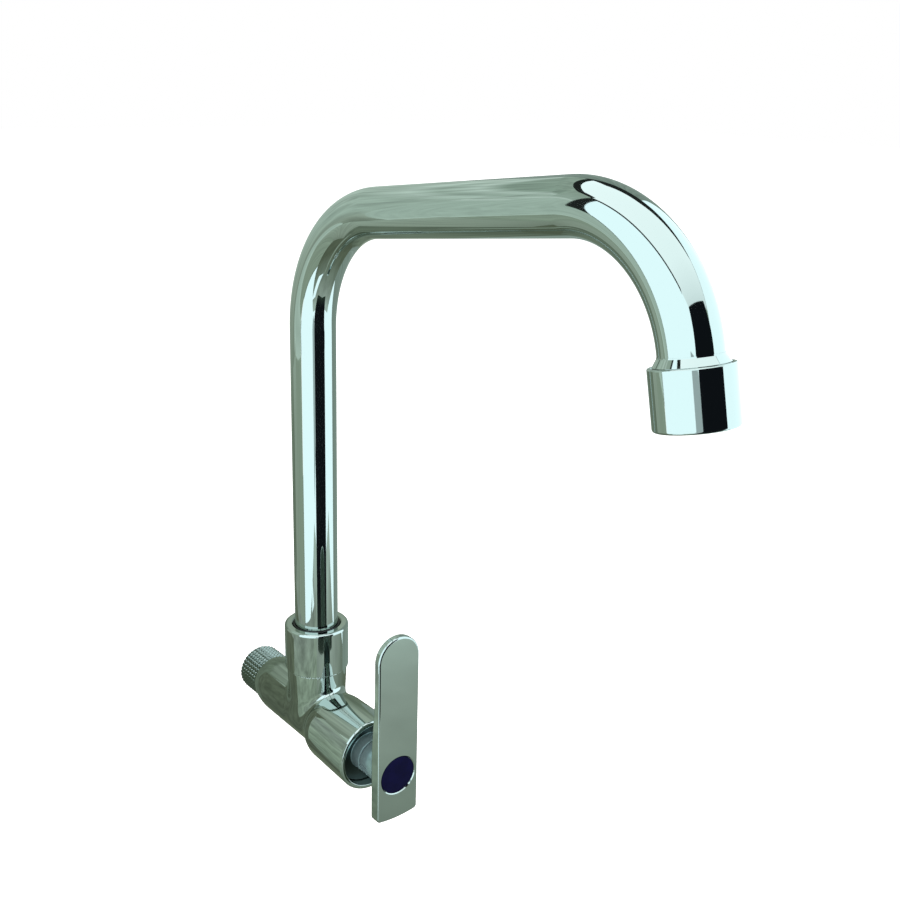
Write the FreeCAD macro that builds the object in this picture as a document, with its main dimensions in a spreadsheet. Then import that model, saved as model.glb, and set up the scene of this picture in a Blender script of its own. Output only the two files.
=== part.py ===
import FreeCAD, Part
import math
import os

import Sketcher

# Wall-mounted swan-neck kitchen tap with a quarter-turn ceramic headwork.
# Frame: Z up, the wall at Y = 0, and the tap stands out of the wall towards -Y.
# The origin lies on the axis of the inlet thread, where the thread meets the body.
# Lengths are in millimetres and angles in degrees.

INLET_AND_BODY = {
    "thread_diameter": 20.955,
    "thread_length": 14,
    "thread_chamfer": 1,
    "inlet_bore_diameter": 13,
    "inlet_bore_depth": 34,
    "nose_length": 10,
    "sleeve_diameter": 24.2,
    "spout_distance": 36,
    "shoulder_lead": 4.5,
    "shoulder_length": 12,
    "barrel_wall": 2,
    "barrel_taper": 0.6,
    "front_distance": 77.5,
    "front_rounding": 1.2,
    "recess_depth": 4.4,
    "chamber_diameter": 20,
    "chamber_lead": 12,
    "seat_tube_wall": 1.7,
    "boss_inset": 0.5,
    "boss_shoulder": 1.2,
    "crotch_rounding": 1.0,
    "neck_wall": 2.9,
    "neck_height": 33,
    "neck_length": 9.2,
    "spout_socket_diameter": 17.2,
    "port_land": 1,
}

NUT_AND_SPOUT = {
    "nut_wall": 1.75,
    "nut_lip": 3.6,
    "nut_rounding": 1.8,
    "thread_play": 0.15,
    "pipe_gap": 0.9,
    "ring_height": 3.9,
    "ring_play": 0.15,
    "ring_setback": 0.9,
    "pipe_diameter": 18,
    "pipe_wall": 1,
    "bend_start": 169.9,
    "riser_bend_radius": 49.1,
    "run_length": 96,
    "run_rise": 7.2,
    "outlet_bend_radius": 42.7,
    "outlet_tilt": 12.6,
    "outlet_straight": 6.5,
    "seat_gap": 0.1,
    "joint_gap": 0.05,
    "swivel_play": 0.07,
    "ferrule_length": 19,
    "ferrule_bore_diameter": 11,
    "collar_setback": 0.7,
    "collar_height": 2.6,
    "spigot_length": 11,
    "spigot_wall": 1.2,
    "spout_ring_section": 1.64,
    "spout_ring_depth": 5,
    "spout_ring_spacing": 6.5,
    "ring_slack": 0.03,
    "groove_slack": 0.6,
}

OUTLET_AND_AERATOR = {
    "outlet_flare_start": 0.3,
    "outlet_flare_height": 2.7,
    "outlet_flare_top_wall": 0.3,
    "outlet_flare_spread": 1.15,
    "outlet_collar_wall": 1.8,
    "aerator_thread_relief": 0.3,
    "aerator_thread_length": 7,
    "housing_wall": 1.05,
    "housing_length": 17.1,
    "housing_edge": 0.5,
    "housing_ledge": 0.9,
    "housing_lip_width": 1,
    "housing_lip_height": 1.05,
    "housing_rounding": 0.8,
    "washer_height": 1.3,
    "washer_width": 2.6,
    "insert_flange_height": 1,
    "insert_wall": 1.2,
    "distributor_height": 1.4,
    "distributor_hole_diameter": 1.5,
    "distributor_hole_count": 12,
    "distributor_rim": 2.15,
    "screen_height": 0.4,
    "screen_spacing": 1.2,
    "grille_height": 2.2,
    "grille_hole_diameter": 2.5,
    "grille_rim": 0.7,
}

HEADWORK = {
    "seat_compression": 0.6,
    "headwork_depth": 21,
    "gasket_height": 2.4,
    "gasket_width": 1.2,
    "disc_height": 3,
    "disc_diameter": 14.2,
    "cup_play": 0.15,
    "cup_wall": 1.25,
    "tab_width": 3,
    "tab_height": 1,
    "port_rim": 1.3,
    "port_depth": 2.4,
    "port_half_angle": 40,
    "key_width": 5,
    "key_setback": 0.4,
    "key_depth": 1.2,
    "key_height": 3.4,
    "friction_washer_height": 0.9,
    "headwork_thread_length": 10.5,
    "headwork_gasket_height": 0.8,
    "headwork_gasket_width": 2.6,
    "hexagon_width": 21,
    "hexagon_height": 3.3,
    "spanner_room": 1.276,
    "stem_neck_diameter": 11,
    "window_width": 7,
    "window_margin": 0.4,
    "shank_diameter": 7.8,
    "shank_play": 0.05,
    "shank_ring_section": 1.2,
    "shank_ring_depth": 5.5,
    "shank_ring_spacing": 5,
    "circlip_height": 0.8,
    "circlip_setback": 0.4,
    "circlip_groove_depth": 0.5,
    "circlip_angle": 290,
    "bonnet_plate": 1,
    "bonnet_neck_diameter": 15.2,
    "bonnet_neck_length": 5.3,
    "bonnet_lip": 0.8,
    "bonnet_lip_play": 0.4,
    "bonnet_rounding": 0.5,
    "hub_gap": 0.4,
}

LEVER = {
    "hub_length": 11.2,
    "lever_margin": 1.75,
    "lever_top": 60.9,
    "lever_bottom": 18.86,
    "lever_bottom_radius": 50,
    "lever_corner": 1.5,
    "lever_thickness": 5.2,
    "lever_tip_thickness": 3.3,
    "lever_taper_start": 9,
    "lever_taper_end": 38,
    "lever_rounding": 0.9,
    "hub_diameter": 15.2,
    "hub_rounding": 1,
    "spline_step": 0.25,
    "spline_depth": 0.35,
    "spline_count": 20,
    "spline_play": 0.07,
    "cap_diameter": 15.8,
    "cap_height": 1.8,
    "cap_rounding": 0.3,
    "cap_play": 0.1,
    "recess_chamfer": 0.35,
    "screw_diameter": 4,
    "screw_play": 0.1,
    "screw_head_diameter": 7.2,
    "screw_head_height": 2.2,
    "screw_head_gap": 0.25,
    "screw_length": 8,
    "screw_slot_width": 1,
    "screw_slot_depth": 1.1,
    "screw_seat_wall": 2.4,
}

doc = FreeCAD.newDocument("kitchen_tap")
sheet = doc.addObject("Spreadsheet::Sheet", "Sizes")


class Size:
    """A length, an angle or a count: its expression over the sheet and the number that it gives now."""

    def __init__(self, text, number):
        self.text = text
        self.number = number

    def combined(self, other, sign, number):
        """This size joined to another, or to a plain number, by an arithmetic sign."""
        return Size("(%s %s %s)" % (self.text, sign, text_of(other)), number)

    def __add__(self, other):
        return self.combined(other, "+", self.number + number_of(other))

    def __sub__(self, other):
        return self.combined(other, "-", self.number - number_of(other))

    def __mul__(self, other):
        return self.combined(other, "*", self.number * number_of(other))

    def __truediv__(self, other):
        return self.combined(other, "/", self.number / number_of(other))

    def __neg__(self):
        return Size("(-%s)" % self.text, -self.number)


def text_of(size):
    """The expression of a size, or of a plain number."""
    return size.text if isinstance(size, Size) else str(size)


def number_of(size):
    """The present number of a size, or a plain number itself."""
    return size.number if isinstance(size, Size) else float(size)


def sine(angle):
    """The sine of an angle in degrees."""
    return Size("sin(%s)" % angle.text, math.sin(math.radians(angle.number)))


def cosine(angle):
    """The cosine of an angle in degrees."""
    return Size("cos(%s)" % angle.text, math.cos(math.radians(angle.number)))


def root(size):
    """The square root of a size."""
    return Size("sqrt(%s)" % size.text, math.sqrt(size.number))


class Sizes:
    """Every driving size of the tap as an attribute, each bound to its cell of the sheet."""

    def __init__(self, *groups):
        row = 0
        for group in groups:
            for alias, number in group.items():
                row += 1
                sheet.set("A%d" % row, alias)
                sheet.set("B%d" % row, str(number))
                sheet.setAlias("B%d" % row, alias)
                setattr(self, alias, Size("Sizes." + alias, float(number)))


s = Sizes(INLET_AND_BODY, NUT_AND_SPOUT, OUTLET_AND_AERATOR, HEADWORK, LEVER)
doc.recompute()

# Stations along the valve axis, each a distance out from the wall.
recess_floor = s.front_distance - s.recess_depth
bonnet_back = recess_floor - s.bonnet_plate
hexagon_back = bonnet_back - s.hexagon_height
headwork_seat = hexagon_back - s.headwork_gasket_height
headwork_thread_back = headwork_seat - s.headwork_thread_length
seat_distance = headwork_seat - s.headwork_depth
housing_nose = seat_distance + s.seat_compression
fixed_disc_back = seat_distance + s.gasket_height
moving_disc_back = fixed_disc_back + s.disc_height + s.joint_gap
moving_disc_front = moving_disc_back + s.disc_height
key_back = moving_disc_front - s.key_depth + s.joint_gap
key_front = key_back + s.key_height
friction_washer_back = key_front + s.joint_gap
cup_floor = friction_washer_back + s.friction_washer_height + s.joint_gap
bonnet_front = recess_floor + s.bonnet_neck_length
circlip_front = bonnet_front - s.bonnet_lip - s.seat_gap
circlip_back = circlip_front - s.circlip_height
stem_neck_front = circlip_back - s.seat_gap
hub_back = bonnet_front + s.hub_gap
lever_back = hub_back + s.hub_length
lever_front = lever_back + s.lever_thickness
cap_back = lever_front - s.cap_height
cap_floor = cap_back - s.cap_play
screw_seat = cap_floor - s.screw_head_gap - s.screw_head_height
socket_front = screw_seat - s.screw_seat_wall
spline_front = socket_front - s.seat_gap
chamber_start = s.spout_distance - s.chamber_lead
shoulder_start = s.spout_distance + s.shoulder_lead

# Radii that several pieces share.
disc_radius = s.disc_diameter / 2
seat_bore_radius = disc_radius - s.gasket_width
seat_tube_radius = seat_bore_radius + s.seat_tube_wall
recess_radius = s.hexagon_width / root(Size("3", 3.0)) + s.spanner_room
barrel_front_radius = recess_radius + s.barrel_wall
port_outer_radius = disc_radius - s.port_rim
port_inner_radius = port_outer_radius - s.port_depth
shank_bore_radius = s.shank_diameter / 2 + s.shank_play
shank_groove_radius = shank_bore_radius - s.ring_slack - s.shank_ring_section
socket_radius = s.spout_socket_diameter / 2
spout_groove_radius = socket_radius - s.ring_slack - s.spout_ring_section
pipe_radius = s.pipe_diameter / 2
pipe_bore_radius = pipe_radius - s.pipe_wall
neck_radius = socket_radius + s.neck_wall
nut_cavity_radius = neck_radius + s.thread_play
nut_radius = nut_cavity_radius + s.nut_wall
nut_hole_radius = pipe_radius + s.pipe_gap
aerator_thread_radius = pipe_radius + s.outlet_collar_wall
aerator_thread_bore = aerator_thread_radius + s.joint_gap
housing_radius = aerator_thread_bore + s.housing_wall
insert_radius = aerator_thread_bore - s.housing_ledge - s.joint_gap
insert_bore = insert_radius - s.insert_wall
spline_radius = s.shank_diameter / 2 - s.spline_step
lever_half_width = s.cap_diameter / 2 + s.lever_margin

# Heights above the valve axis, on the spout's swivel axis.
boss_height = s.neck_height - s.neck_length
collar_base = s.neck_height + s.seat_gap
collar_top = collar_base + s.collar_height
ferrule_end = collar_base - s.ferrule_length
nut_lip_base = collar_top + s.ring_height + s.ring_play * 2
nut_top = nut_lip_base + s.nut_lip

# Distances along the outlet, from the end of its bend.
thread_start = s.outlet_flare_start + s.outlet_flare_height + s.aerator_thread_relief
collar_end = thread_start + s.aerator_thread_length
housing_start = s.outlet_flare_start + s.outlet_flare_height
housing_end = housing_start + s.housing_length
washer_start = collar_end + s.joint_gap
insert_start = washer_start + s.washer_height + s.joint_gap
insert_end = housing_end - s.housing_lip_height - s.joint_gap
insert_ledge = insert_start + s.insert_flange_height + s.joint_gap

PARTS = []


def placed(item, frame):
    """Seats a piece in one of the tap's three local frames, whose Z axis runs the way the water does.

    The valve frame's Z axis points out of the wall and its Y axis points up. The spout frame stands on
    the swivel axis. The outlet frame starts at the end of the second bend and points down the outlet.
    """
    turned = FreeCAD.Rotation(FreeCAD.Vector(1, 0, 0), 90)
    if frame == "valve":
        item.Placement = FreeCAD.Placement(FreeCAD.Vector(), turned)
    elif frame == "spout":
        item.setExpression("Placement.Base.y", "-Sizes.spout_distance")
    elif frame == "outlet":
        item.Placement = FreeCAD.Placement(FreeCAD.Vector(), turned)
        item.setExpression("Placement.Rotation.Angle", "180 - Sizes.outlet_tilt")
        reach, height = outlet_bend_end()
        item.setExpression("Placement.Base.y", (-(reach + s.spout_distance)).text)
        item.setExpression("Placement.Base.z", height.text)


def new_body(name, frame):
    """A body named for its piece and seated in a local frame."""
    body = doc.addObject("PartDesign::Body", name)
    body.Label = name
    placed(body, frame)
    PARTS.append(body)
    return body


def new_sketch(body, name, plane, out=0, shift=0):
    """A sketch on an origin plane of its body, moved out along the plane's normal and up along its own y."""
    sketch = body.newObject("Sketcher::SketchObject", body.Name + "_" + name)
    support = [item for item in body.Origin.OriginFeatures if item.Role == plane][0]
    sketch.AttachmentSupport = [(support, "")]
    sketch.MapMode = "FlatFace"
    if isinstance(out, Size):
        sketch.setExpression("AttachmentOffset.Base.z", out.text)
    if isinstance(shift, Size):
        sketch.setExpression("AttachmentOffset.Base.y", shift.text)
    return sketch


def point(corner):
    """A corner's present place in its sketch."""
    return FreeCAD.Vector(number_of(corner[0]), number_of(corner[1]), 0)


def arc_through(start, end, along):
    """The arc from start to end that leaves start along a direction, and whether it runs anticlockwise."""
    chord = end - start
    normal = FreeCAD.Vector(-along.y, along.x, 0)
    reach = chord.dot(chord) / (2 * normal.dot(chord))
    centre = start + normal * reach
    turns_left = reach > 0
    first, last = (start, end) if turns_left else (end, start)
    begin = math.atan2(first.y - centre.y, first.x - centre.x)
    finish = math.atan2(last.y - centre.y, last.x - centre.x)
    if finish < begin:
        finish += 2 * math.pi
    circle = Part.Circle(centre, FreeCAD.Vector(0, 0, 1), abs(reach))
    return Part.ArcOfCircle(circle, begin, finish), turns_left


def dimension(sketch, kind, edge, end, size):
    """Fixes one coordinate of an edge's end to a size, or lays it on an axis where the size is zero."""
    if number_of(size) == 0 and not isinstance(size, Size):
        axis = -2 if kind == "DistanceX" else -1
        sketch.addConstraint(Sketcher.Constraint("PointOnObject", edge, end, axis))
        return
    index = sketch.addConstraint(Sketcher.Constraint(kind, -1, 1, edge, end, number_of(size)))
    if isinstance(size, Size):
        sketch.setExpression("Constraints[%d]" % index, size.text)


def draw_outline(sketch, corners, arcs=None):
    """Draws a closed outline through its corners and dimensions each corner from the sketch's origin.

    arcs maps an edge's number to "start" or "end", where that edge is an arc tangent there to its
    neighbour, or to the radius of an arc that bulges out of the outline.
    """
    arcs = arcs or {}
    count = len(corners)
    first = len(sketch.Geometry)
    ends = []
    for i in range(count):
        start, end = point(corners[i]), point(corners[(i + 1) % count])
        if i not in arcs:
            sketch.addGeometry(Part.LineSegment(start, end), False)
            ends.append((1, 2))
        elif isinstance(arcs[i], Size):
            half_turn = math.asin((end - start).Length / 2 / arcs[i].number)
            outward = FreeCAD.Rotation(FreeCAD.Vector(0, 0, -1), math.degrees(half_turn))
            arc, turns_left = arc_through(start, end, outward.multVec(end - start).normalize())
            sketch.addGeometry(arc, False)
            ends.append((1, 2) if turns_left else (2, 1))
        elif arcs[i] == "start":
            arc, turns_left = arc_through(start, end, (start - point(corners[i - 1])).normalize())
            sketch.addGeometry(arc, False)
            ends.append((1, 2) if turns_left else (2, 1))
        else:
            beyond = point(corners[(i + 2) % count])
            arc, turns_left = arc_through(end, start, (end - beyond).normalize())
            sketch.addGeometry(arc, False)
            ends.append((2, 1) if turns_left else (1, 2))
    for i in range(count):
        after = (i + 1) % count
        touching = arcs.get(i) == "end" or arcs.get(after) == "start"
        kind = "Tangent" if touching else "Coincident"
        sketch.addConstraint(Sketcher.Constraint(kind, first + i, ends[i][1], first + after, ends[after][0]))
    for i, corner in enumerate(corners):
        dimension(sketch, "DistanceX", first + i, ends[i][0], corner[0])
        dimension(sketch, "DistanceY", first + i, ends[i][0], corner[1])
        if isinstance(arcs.get(i), Size):
            index = sketch.addConstraint(Sketcher.Constraint("Radius", first + i, arcs[i].number))
            sketch.setExpression("Constraints[%d]" % index, arcs[i].text)


def draw_circle(sketch, radius, across=0, up=0):
    """Draws a circle of a given radius and dimensions its centre from the sketch's origin."""
    centre = FreeCAD.Vector(number_of(across), number_of(up), 0)
    circle = Part.Circle(centre, FreeCAD.Vector(0, 0, 1), number_of(radius))
    edge = sketch.addGeometry(circle, False)
    index = sketch.addConstraint(Sketcher.Constraint("Radius", edge, number_of(radius)))
    sketch.setExpression("Constraints[%d]" % index, text_of(radius))
    dimension(sketch, "DistanceX", edge, 3, across)
    dimension(sketch, "DistanceY", edge, 3, up)


def feature(body, kind, name, profile, **settings):
    """Adds a sketch-based feature: a Size is bound by an expression, and any other setting is assigned."""
    item = body.newObject("PartDesign::" + kind, body.Name + "_" + name)
    item.Profile = profile
    profile.Visibility = False
    for key, setting in settings.items():
        if isinstance(setting, Size):
            item.setExpression(key, setting.text)
        else:
            setattr(item, key, setting)
    return item


def turned(body, kind, name, corners, arcs=None, angle=360):
    """Turns a closed outline of (radius, height) corners about the body's Z axis."""
    sketch = new_sketch(body, name + "_outline", "XZ_Plane")
    draw_outline(sketch, corners, arcs)
    return feature(body, kind, name, sketch, ReferenceAxis=(sketch, ["V_Axis"]), Angle=angle)


def ring_corners(inner, outer, base, top):
    """The outline of a plain ring between two radii and two heights."""
    return [(inner, base), (outer, base), (outer, top), (inner, top)]


def turned_piece(name, frame, corners, arcs=None, angle=360):
    """A piece that is one turned outline."""
    body = new_body(name, frame)
    turned(body, "Revolution", "turning", corners, arcs, angle)
    doc.recompute()
    return body


def round_edges(body, name, kind, size, wanted):
    """Fillets or chamfers every edge of the body's tip that a test picks out."""
    doc.recompute()
    base = body.Tip
    edges = ["Edge%d" % (i + 1) for i, edge in enumerate(base.Shape.Edges) if wanted(edge)]
    if not edges:
        raise ValueError("no edge for " + body.Name + "_" + name)
    item = body.newObject("PartDesign::" + kind, body.Name + "_" + name)
    item.Base = (base, edges)
    item.setExpression("Radius" if kind == "Fillet" else "Size", text_of(size))
    doc.recompute()
    return item


def is_ring(radius, height):
    """A test for full circles about the local Z axis with a given radius and height."""

    def wanted(edge):
        if not isinstance(edge.Curve, Part.Circle) or abs(edge.Curve.Axis.z) < 0.99:
            return False
        same_radius = abs(edge.Curve.Radius - number_of(radius)) < 0.01
        same_height = abs(edge.Curve.Center.z - number_of(height)) < 0.01
        return same_radius and same_height

    return wanted


def patterned(body, name, original, count):
    """Repeats a feature evenly about the body's Z axis."""
    item = body.newObject("PartDesign::PolarPattern", body.Name + "_" + name)
    item.Originals = [original]
    axis = [part for part in body.Origin.OriginFeatures if part.Role == "Z_Axis"][0]
    item.Axis = (axis, [""])
    item.Angle = 360
    item.setExpression("Occurrences", text_of(count))
    body.Tip = item
    return item


def outlet_bend_end():
    """How far out from the swivel axis, and how high, the outlet's bend ends."""
    rise = Size("(90 - Sizes.run_rise)", 90 - s.run_rise.number)
    fall = Size("(180 - Sizes.outlet_tilt)", 180 - s.outlet_tilt.number)
    reach = (
        -s.riser_bend_radius * (cosine(rise) - 1)
        + s.run_length * sine(rise)
        + s.outlet_bend_radius * (cosine(rise) - cosine(fall))
    )
    height = (
        s.bend_start
        + s.riser_bend_radius * sine(rise)
        + s.run_length * cosine(rise)
        + s.outlet_bend_radius * (sine(fall) - sine(rise))
    )
    return reach, height


def make_tap_body():
    """The cast body: inlet thread, sleeve, spout boss and barrel, bored out round its seat tube."""
    body = new_body("tap_body", "valve")
    thread_radius = s.thread_diameter / 2
    sleeve_radius = s.sleeve_diameter / 2
    barrel_back_radius = barrel_front_radius - s.barrel_taper
    shoulder_end = shoulder_start + s.shoulder_length
    casting = [
        (0, -s.thread_length),
        (thread_radius - s.thread_chamfer, -s.thread_length),
        (thread_radius, -s.thread_length + s.thread_chamfer),
        (thread_radius, 0),
        (sleeve_radius, s.nose_length),
        (sleeve_radius, shoulder_start),
        ((sleeve_radius + barrel_back_radius) / 2, shoulder_start + s.shoulder_length / 2),
        (barrel_back_radius, shoulder_end),
        (barrel_front_radius, s.front_distance),
        (0, s.front_distance),
    ]
    turned(body, "Revolution", "casting", casting, {3: "end", 5: "start", 6: "end"})
    doc.recompute()
    boss = new_sketch(body, "boss_outline", "YZ_Plane", shift=s.spout_distance)
    boss_corners = [
        (0, 0),
        (0, sleeve_radius - s.boss_inset),
        (boss_height, neck_radius + s.boss_shoulder),
        (boss_height, neck_radius),
        (s.neck_height, neck_radius),
        (s.neck_height, 0),
    ]
    draw_outline(boss, boss_corners)
    feature(body, "Revolution", "boss", boss, ReferenceAxis=(boss, ["H_Axis"]), Angle=360)
    round_edges(body, "crotch", "Fillet", s.crotch_rounding, is_crotch)
    round_edges(body, "front_edge", "Fillet", s.front_rounding, is_ring(barrel_front_radius, s.front_distance))
    waterway = [
        (0, -s.thread_length),
        (s.inlet_bore_diameter / 2, -s.thread_length),
        (s.inlet_bore_diameter / 2, s.inlet_bore_depth - s.thread_length),
        (seat_bore_radius, s.inlet_bore_depth - s.thread_length),
        (seat_bore_radius, seat_distance),
        (0, seat_distance),
    ]
    turned(body, "Groove", "waterway", waterway)
    thread_bore_radius = thread_radius + s.joint_gap
    chamber = [
        (0, seat_distance),
        (seat_tube_radius, seat_distance),
        (seat_tube_radius, chamber_start),
        (s.chamber_diameter / 2, chamber_start),
        (s.chamber_diameter / 2, headwork_thread_back),
        (thread_bore_radius, headwork_thread_back),
        (thread_bore_radius, headwork_seat),
        (recess_radius, headwork_seat),
        (recess_radius, s.front_distance),
        (0, s.front_distance),
    ]
    turned(body, "Groove", "chamber", chamber)
    doc.recompute()
    socket = new_sketch(body, "spout_socket_outline", "YZ_Plane", shift=s.spout_distance)
    socket_corners = [
        (seat_tube_radius + s.port_land, 0),
        (seat_tube_radius + s.port_land, socket_radius),
        (s.neck_height, socket_radius),
        (s.neck_height, 0),
    ]
    draw_outline(socket, socket_corners)
    feature(body, "Groove", "spout_socket", socket, ReferenceAxis=(socket, ["H_Axis"]), Angle=360)
    doc.recompute()


def is_crotch(edge):
    """A test for the curve where the boss leaves the body: neither a circle nor a straight line."""
    return not isinstance(edge.Curve, (Part.Circle, Part.Line))


def make_swivel_nut():
    """The round nut that holds the spout down on the boss."""
    corners = [
        (nut_cavity_radius, boss_height + s.thread_play),
        (nut_radius, boss_height + s.thread_play),
        (nut_radius, nut_top),
        (nut_hole_radius, nut_top),
        (nut_hole_radius, nut_lip_base),
        (nut_cavity_radius, nut_lip_base),
    ]
    body = turned_piece("swivel_nut", "spout", corners)
    round_edges(body, "top_edge", "Fillet", s.nut_rounding, is_ring(nut_radius, nut_top))


def make_nut_glide_ring():
    """The black plastic ring that guides the pipe inside the nut and fills the gap at its top."""
    inner = pipe_radius + s.ring_play
    corners = [
        (inner, collar_top + s.ring_play),
        (nut_cavity_radius - s.ring_play, collar_top + s.ring_play),
        (nut_cavity_radius - s.ring_play, nut_lip_base - s.ring_play),
        (nut_hole_radius - s.ring_play, nut_lip_base - s.ring_play),
        (nut_hole_radius - s.ring_play, nut_top - s.ring_setback),
        (inner, nut_top - s.ring_setback),
    ]
    turned_piece("nut_glide_ring", "spout", corners)


def make_spout_tube():
    """The swan neck: riser, bend, rising run, bend and short outlet end of one drawn pipe."""
    body = new_body("spout_tube", "spout")
    start = collar_top + s.joint_gap
    section = new_sketch(body, "section", "XY_Plane", out=start)
    draw_circle(section, pipe_radius)
    draw_circle(section, pipe_bore_radius)
    path = new_sketch(body, "path", "YZ_Plane")
    draw_pipe_path(path, start)
    pipe = feature(body, "AdditivePipe", "pipe", section)
    pipe.Spine = (path, ["Edge%d" % (i + 1) for i in range(5)])
    path.Visibility = False
    doc.recompute()


def draw_pipe_path(path, start):
    """Draws the pipe's centreline, whose Y axis points back to the wall, as tangent lines and arcs."""
    rise = math.radians(90 - s.run_rise.number)
    fall = math.radians(180 - s.outlet_tilt.number)
    corner = FreeCAD.Vector(0, s.bend_start.number, 0)
    first_centre = corner - FreeCAD.Vector(s.riser_bend_radius.number, 0, 0)
    up = FreeCAD.Vector(0, 0, 1)
    riser = Part.LineSegment(FreeCAD.Vector(0, start.number, 0), corner)
    first_bend = Part.ArcOfCircle(Part.Circle(first_centre, up, s.riser_bend_radius.number), 0, rise)
    run_start = first_bend.EndPoint
    along = FreeCAD.Vector(-math.sin(rise), math.cos(rise), 0)
    run_end = run_start + along * s.run_length.number
    run = Part.LineSegment(run_start, run_end)
    inward = FreeCAD.Vector(-math.cos(rise), -math.sin(rise), 0)
    second_centre = run_end + inward * s.outlet_bend_radius.number
    second_bend = Part.ArcOfCircle(Part.Circle(second_centre, up, s.outlet_bend_radius.number), rise, fall)
    down = FreeCAD.Vector(-math.sin(fall), math.cos(fall), 0)
    outlet_start = second_bend.EndPoint
    outlet = Part.LineSegment(outlet_start, outlet_start + down * s.outlet_straight.number)
    for piece in (riser, first_bend, run, second_bend, outlet):
        path.addGeometry(piece, False)
    path.addConstraint(Sketcher.Constraint("Vertical", 0))
    dimension(path, "DistanceX", 0, 1, 0)
    dimension(path, "DistanceY", 0, 1, start)
    dimension(path, "DistanceY", 0, 2, s.bend_start)
    for before, after in ((0, 1), (1, 2), (2, 3), (3, 4)):
        path.addConstraint(Sketcher.Constraint("Tangent", before, 2, after, 1))
    for edge, radius in ((1, s.riser_bend_radius), (3, s.outlet_bend_radius)):
        index = path.addConstraint(Sketcher.Constraint("Radius", edge, radius.number))
        path.setExpression("Constraints[%d]" % index, radius.text)
    for edge, length in ((2, s.run_length), (4, s.outlet_straight)):
        index = path.addConstraint(Sketcher.Constraint("Distance", edge, length.number))
        path.setExpression("Constraints[%d]" % index, length.text)
    index = path.addConstraint(Sketcher.Constraint("Angle", -2, 1, 2, 1, rise))
    path.setExpression("Constraints[%d]" % index, "90 - Sizes.run_rise")
    index = path.addConstraint(Sketcher.Constraint("Angle", -2, 1, 4, 1, fall))
    path.setExpression("Constraints[%d]" % index, "180 - Sizes.outlet_tilt")


def make_spout_ferrule():
    """The turned foot of the spout: grooved for two seal rings, with a collar and a spigot for the pipe."""
    outer = socket_radius - s.swivel_play
    groove_half = (s.spout_ring_section + s.groove_slack) / 2
    spigot_radius = pipe_bore_radius - s.joint_gap
    corners = [(s.ferrule_bore_diameter / 2, ferrule_end), (outer, ferrule_end)]
    for centre in spout_ring_heights():
        corners += [
            (outer, centre - groove_half),
            (spout_groove_radius, centre - groove_half),
            (spout_groove_radius, centre + groove_half),
            (outer, centre + groove_half),
        ]
    corners += [
        (outer, collar_base),
        (neck_radius - s.collar_setback, collar_base),
        (neck_radius - s.collar_setback, collar_top),
        (spigot_radius, collar_top),
        (spigot_radius, collar_top + s.spigot_length),
        (spigot_radius - s.spigot_wall, collar_top + s.spigot_length),
        (spigot_radius - s.spigot_wall, collar_top),
        (s.ferrule_bore_diameter / 2, collar_top - s.spigot_wall),
    ]
    turned_piece("spout_ferrule", "spout", corners)


def spout_ring_heights():
    """The heights of the spout's two seal rings, the lower one first."""
    upper = collar_base - s.spout_ring_depth
    return upper - s.spout_ring_spacing, upper


def seal_ring(name, frame, centre_radius, section, height):
    """A rubber ring of round section about a local Z axis."""
    torus = doc.addObject("Part::Torus", name)
    torus.Label = name
    torus.setExpression("Radius1", centre_radius.text)
    torus.setExpression("Radius2", (section / 2).text)
    placed(torus, frame)
    if frame == "valve":
        torus.setExpression("Placement.Base.y", (-height).text)
    else:
        torus.setExpression("Placement.Base.z", height.text)
    PARTS.append(torus)


def make_spout_seal_rings():
    """The two rings that seal the ferrule in its socket."""
    centre_radius = spout_groove_radius + s.spout_ring_section / 2
    for name, height in zip(("lower_spout_o_ring", "upper_spout_o_ring"), spout_ring_heights()):
        seal_ring(name, "spout", centre_radius, s.spout_ring_section, height)


def make_outlet_collar():
    """The collar brazed on the pipe's end: a flared skirt and the male thread for the aerator."""
    sleeve_bore = pipe_radius + s.joint_gap
    flare_end = s.outlet_flare_start + s.outlet_flare_height
    flare_radius = pipe_radius + s.outlet_flare_spread
    pipe_end = s.outlet_straight + s.joint_gap
    corners = [
        (sleeve_bore, s.outlet_flare_start),
        (sleeve_bore + s.outlet_flare_top_wall, s.outlet_flare_start),
        (flare_radius, flare_end),
        (flare_radius, thread_start),
        (aerator_thread_radius, thread_start),
        (aerator_thread_radius, collar_end),
        (pipe_bore_radius, collar_end),
        (pipe_bore_radius, pipe_end),
        (sleeve_bore, pipe_end),
    ]
    turned_piece("outlet_collar", "outlet", corners)


def make_aerator_housing():
    """The chromed cup screwed on the outlet, which holds the aerator up by its bottom lip."""
    ledge = aerator_thread_bore - s.housing_ledge
    lip = ledge - s.housing_lip_width
    corners = [
        (aerator_thread_bore, housing_start),
        (housing_radius - s.housing_edge, housing_start),
        (housing_radius, housing_start + s.housing_edge),
        (housing_radius, housing_end),
        (lip, housing_end),
        (lip, housing_end - s.housing_lip_height),
        (ledge, housing_end - s.housing_lip_height),
        (ledge, insert_ledge),
        (aerator_thread_bore, insert_ledge),
    ]
    body = turned_piece("aerator_housing", "outlet", corners)
    round_edges(body, "bottom_edge", "Fillet", s.housing_rounding, is_ring(housing_radius, housing_end))


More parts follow.
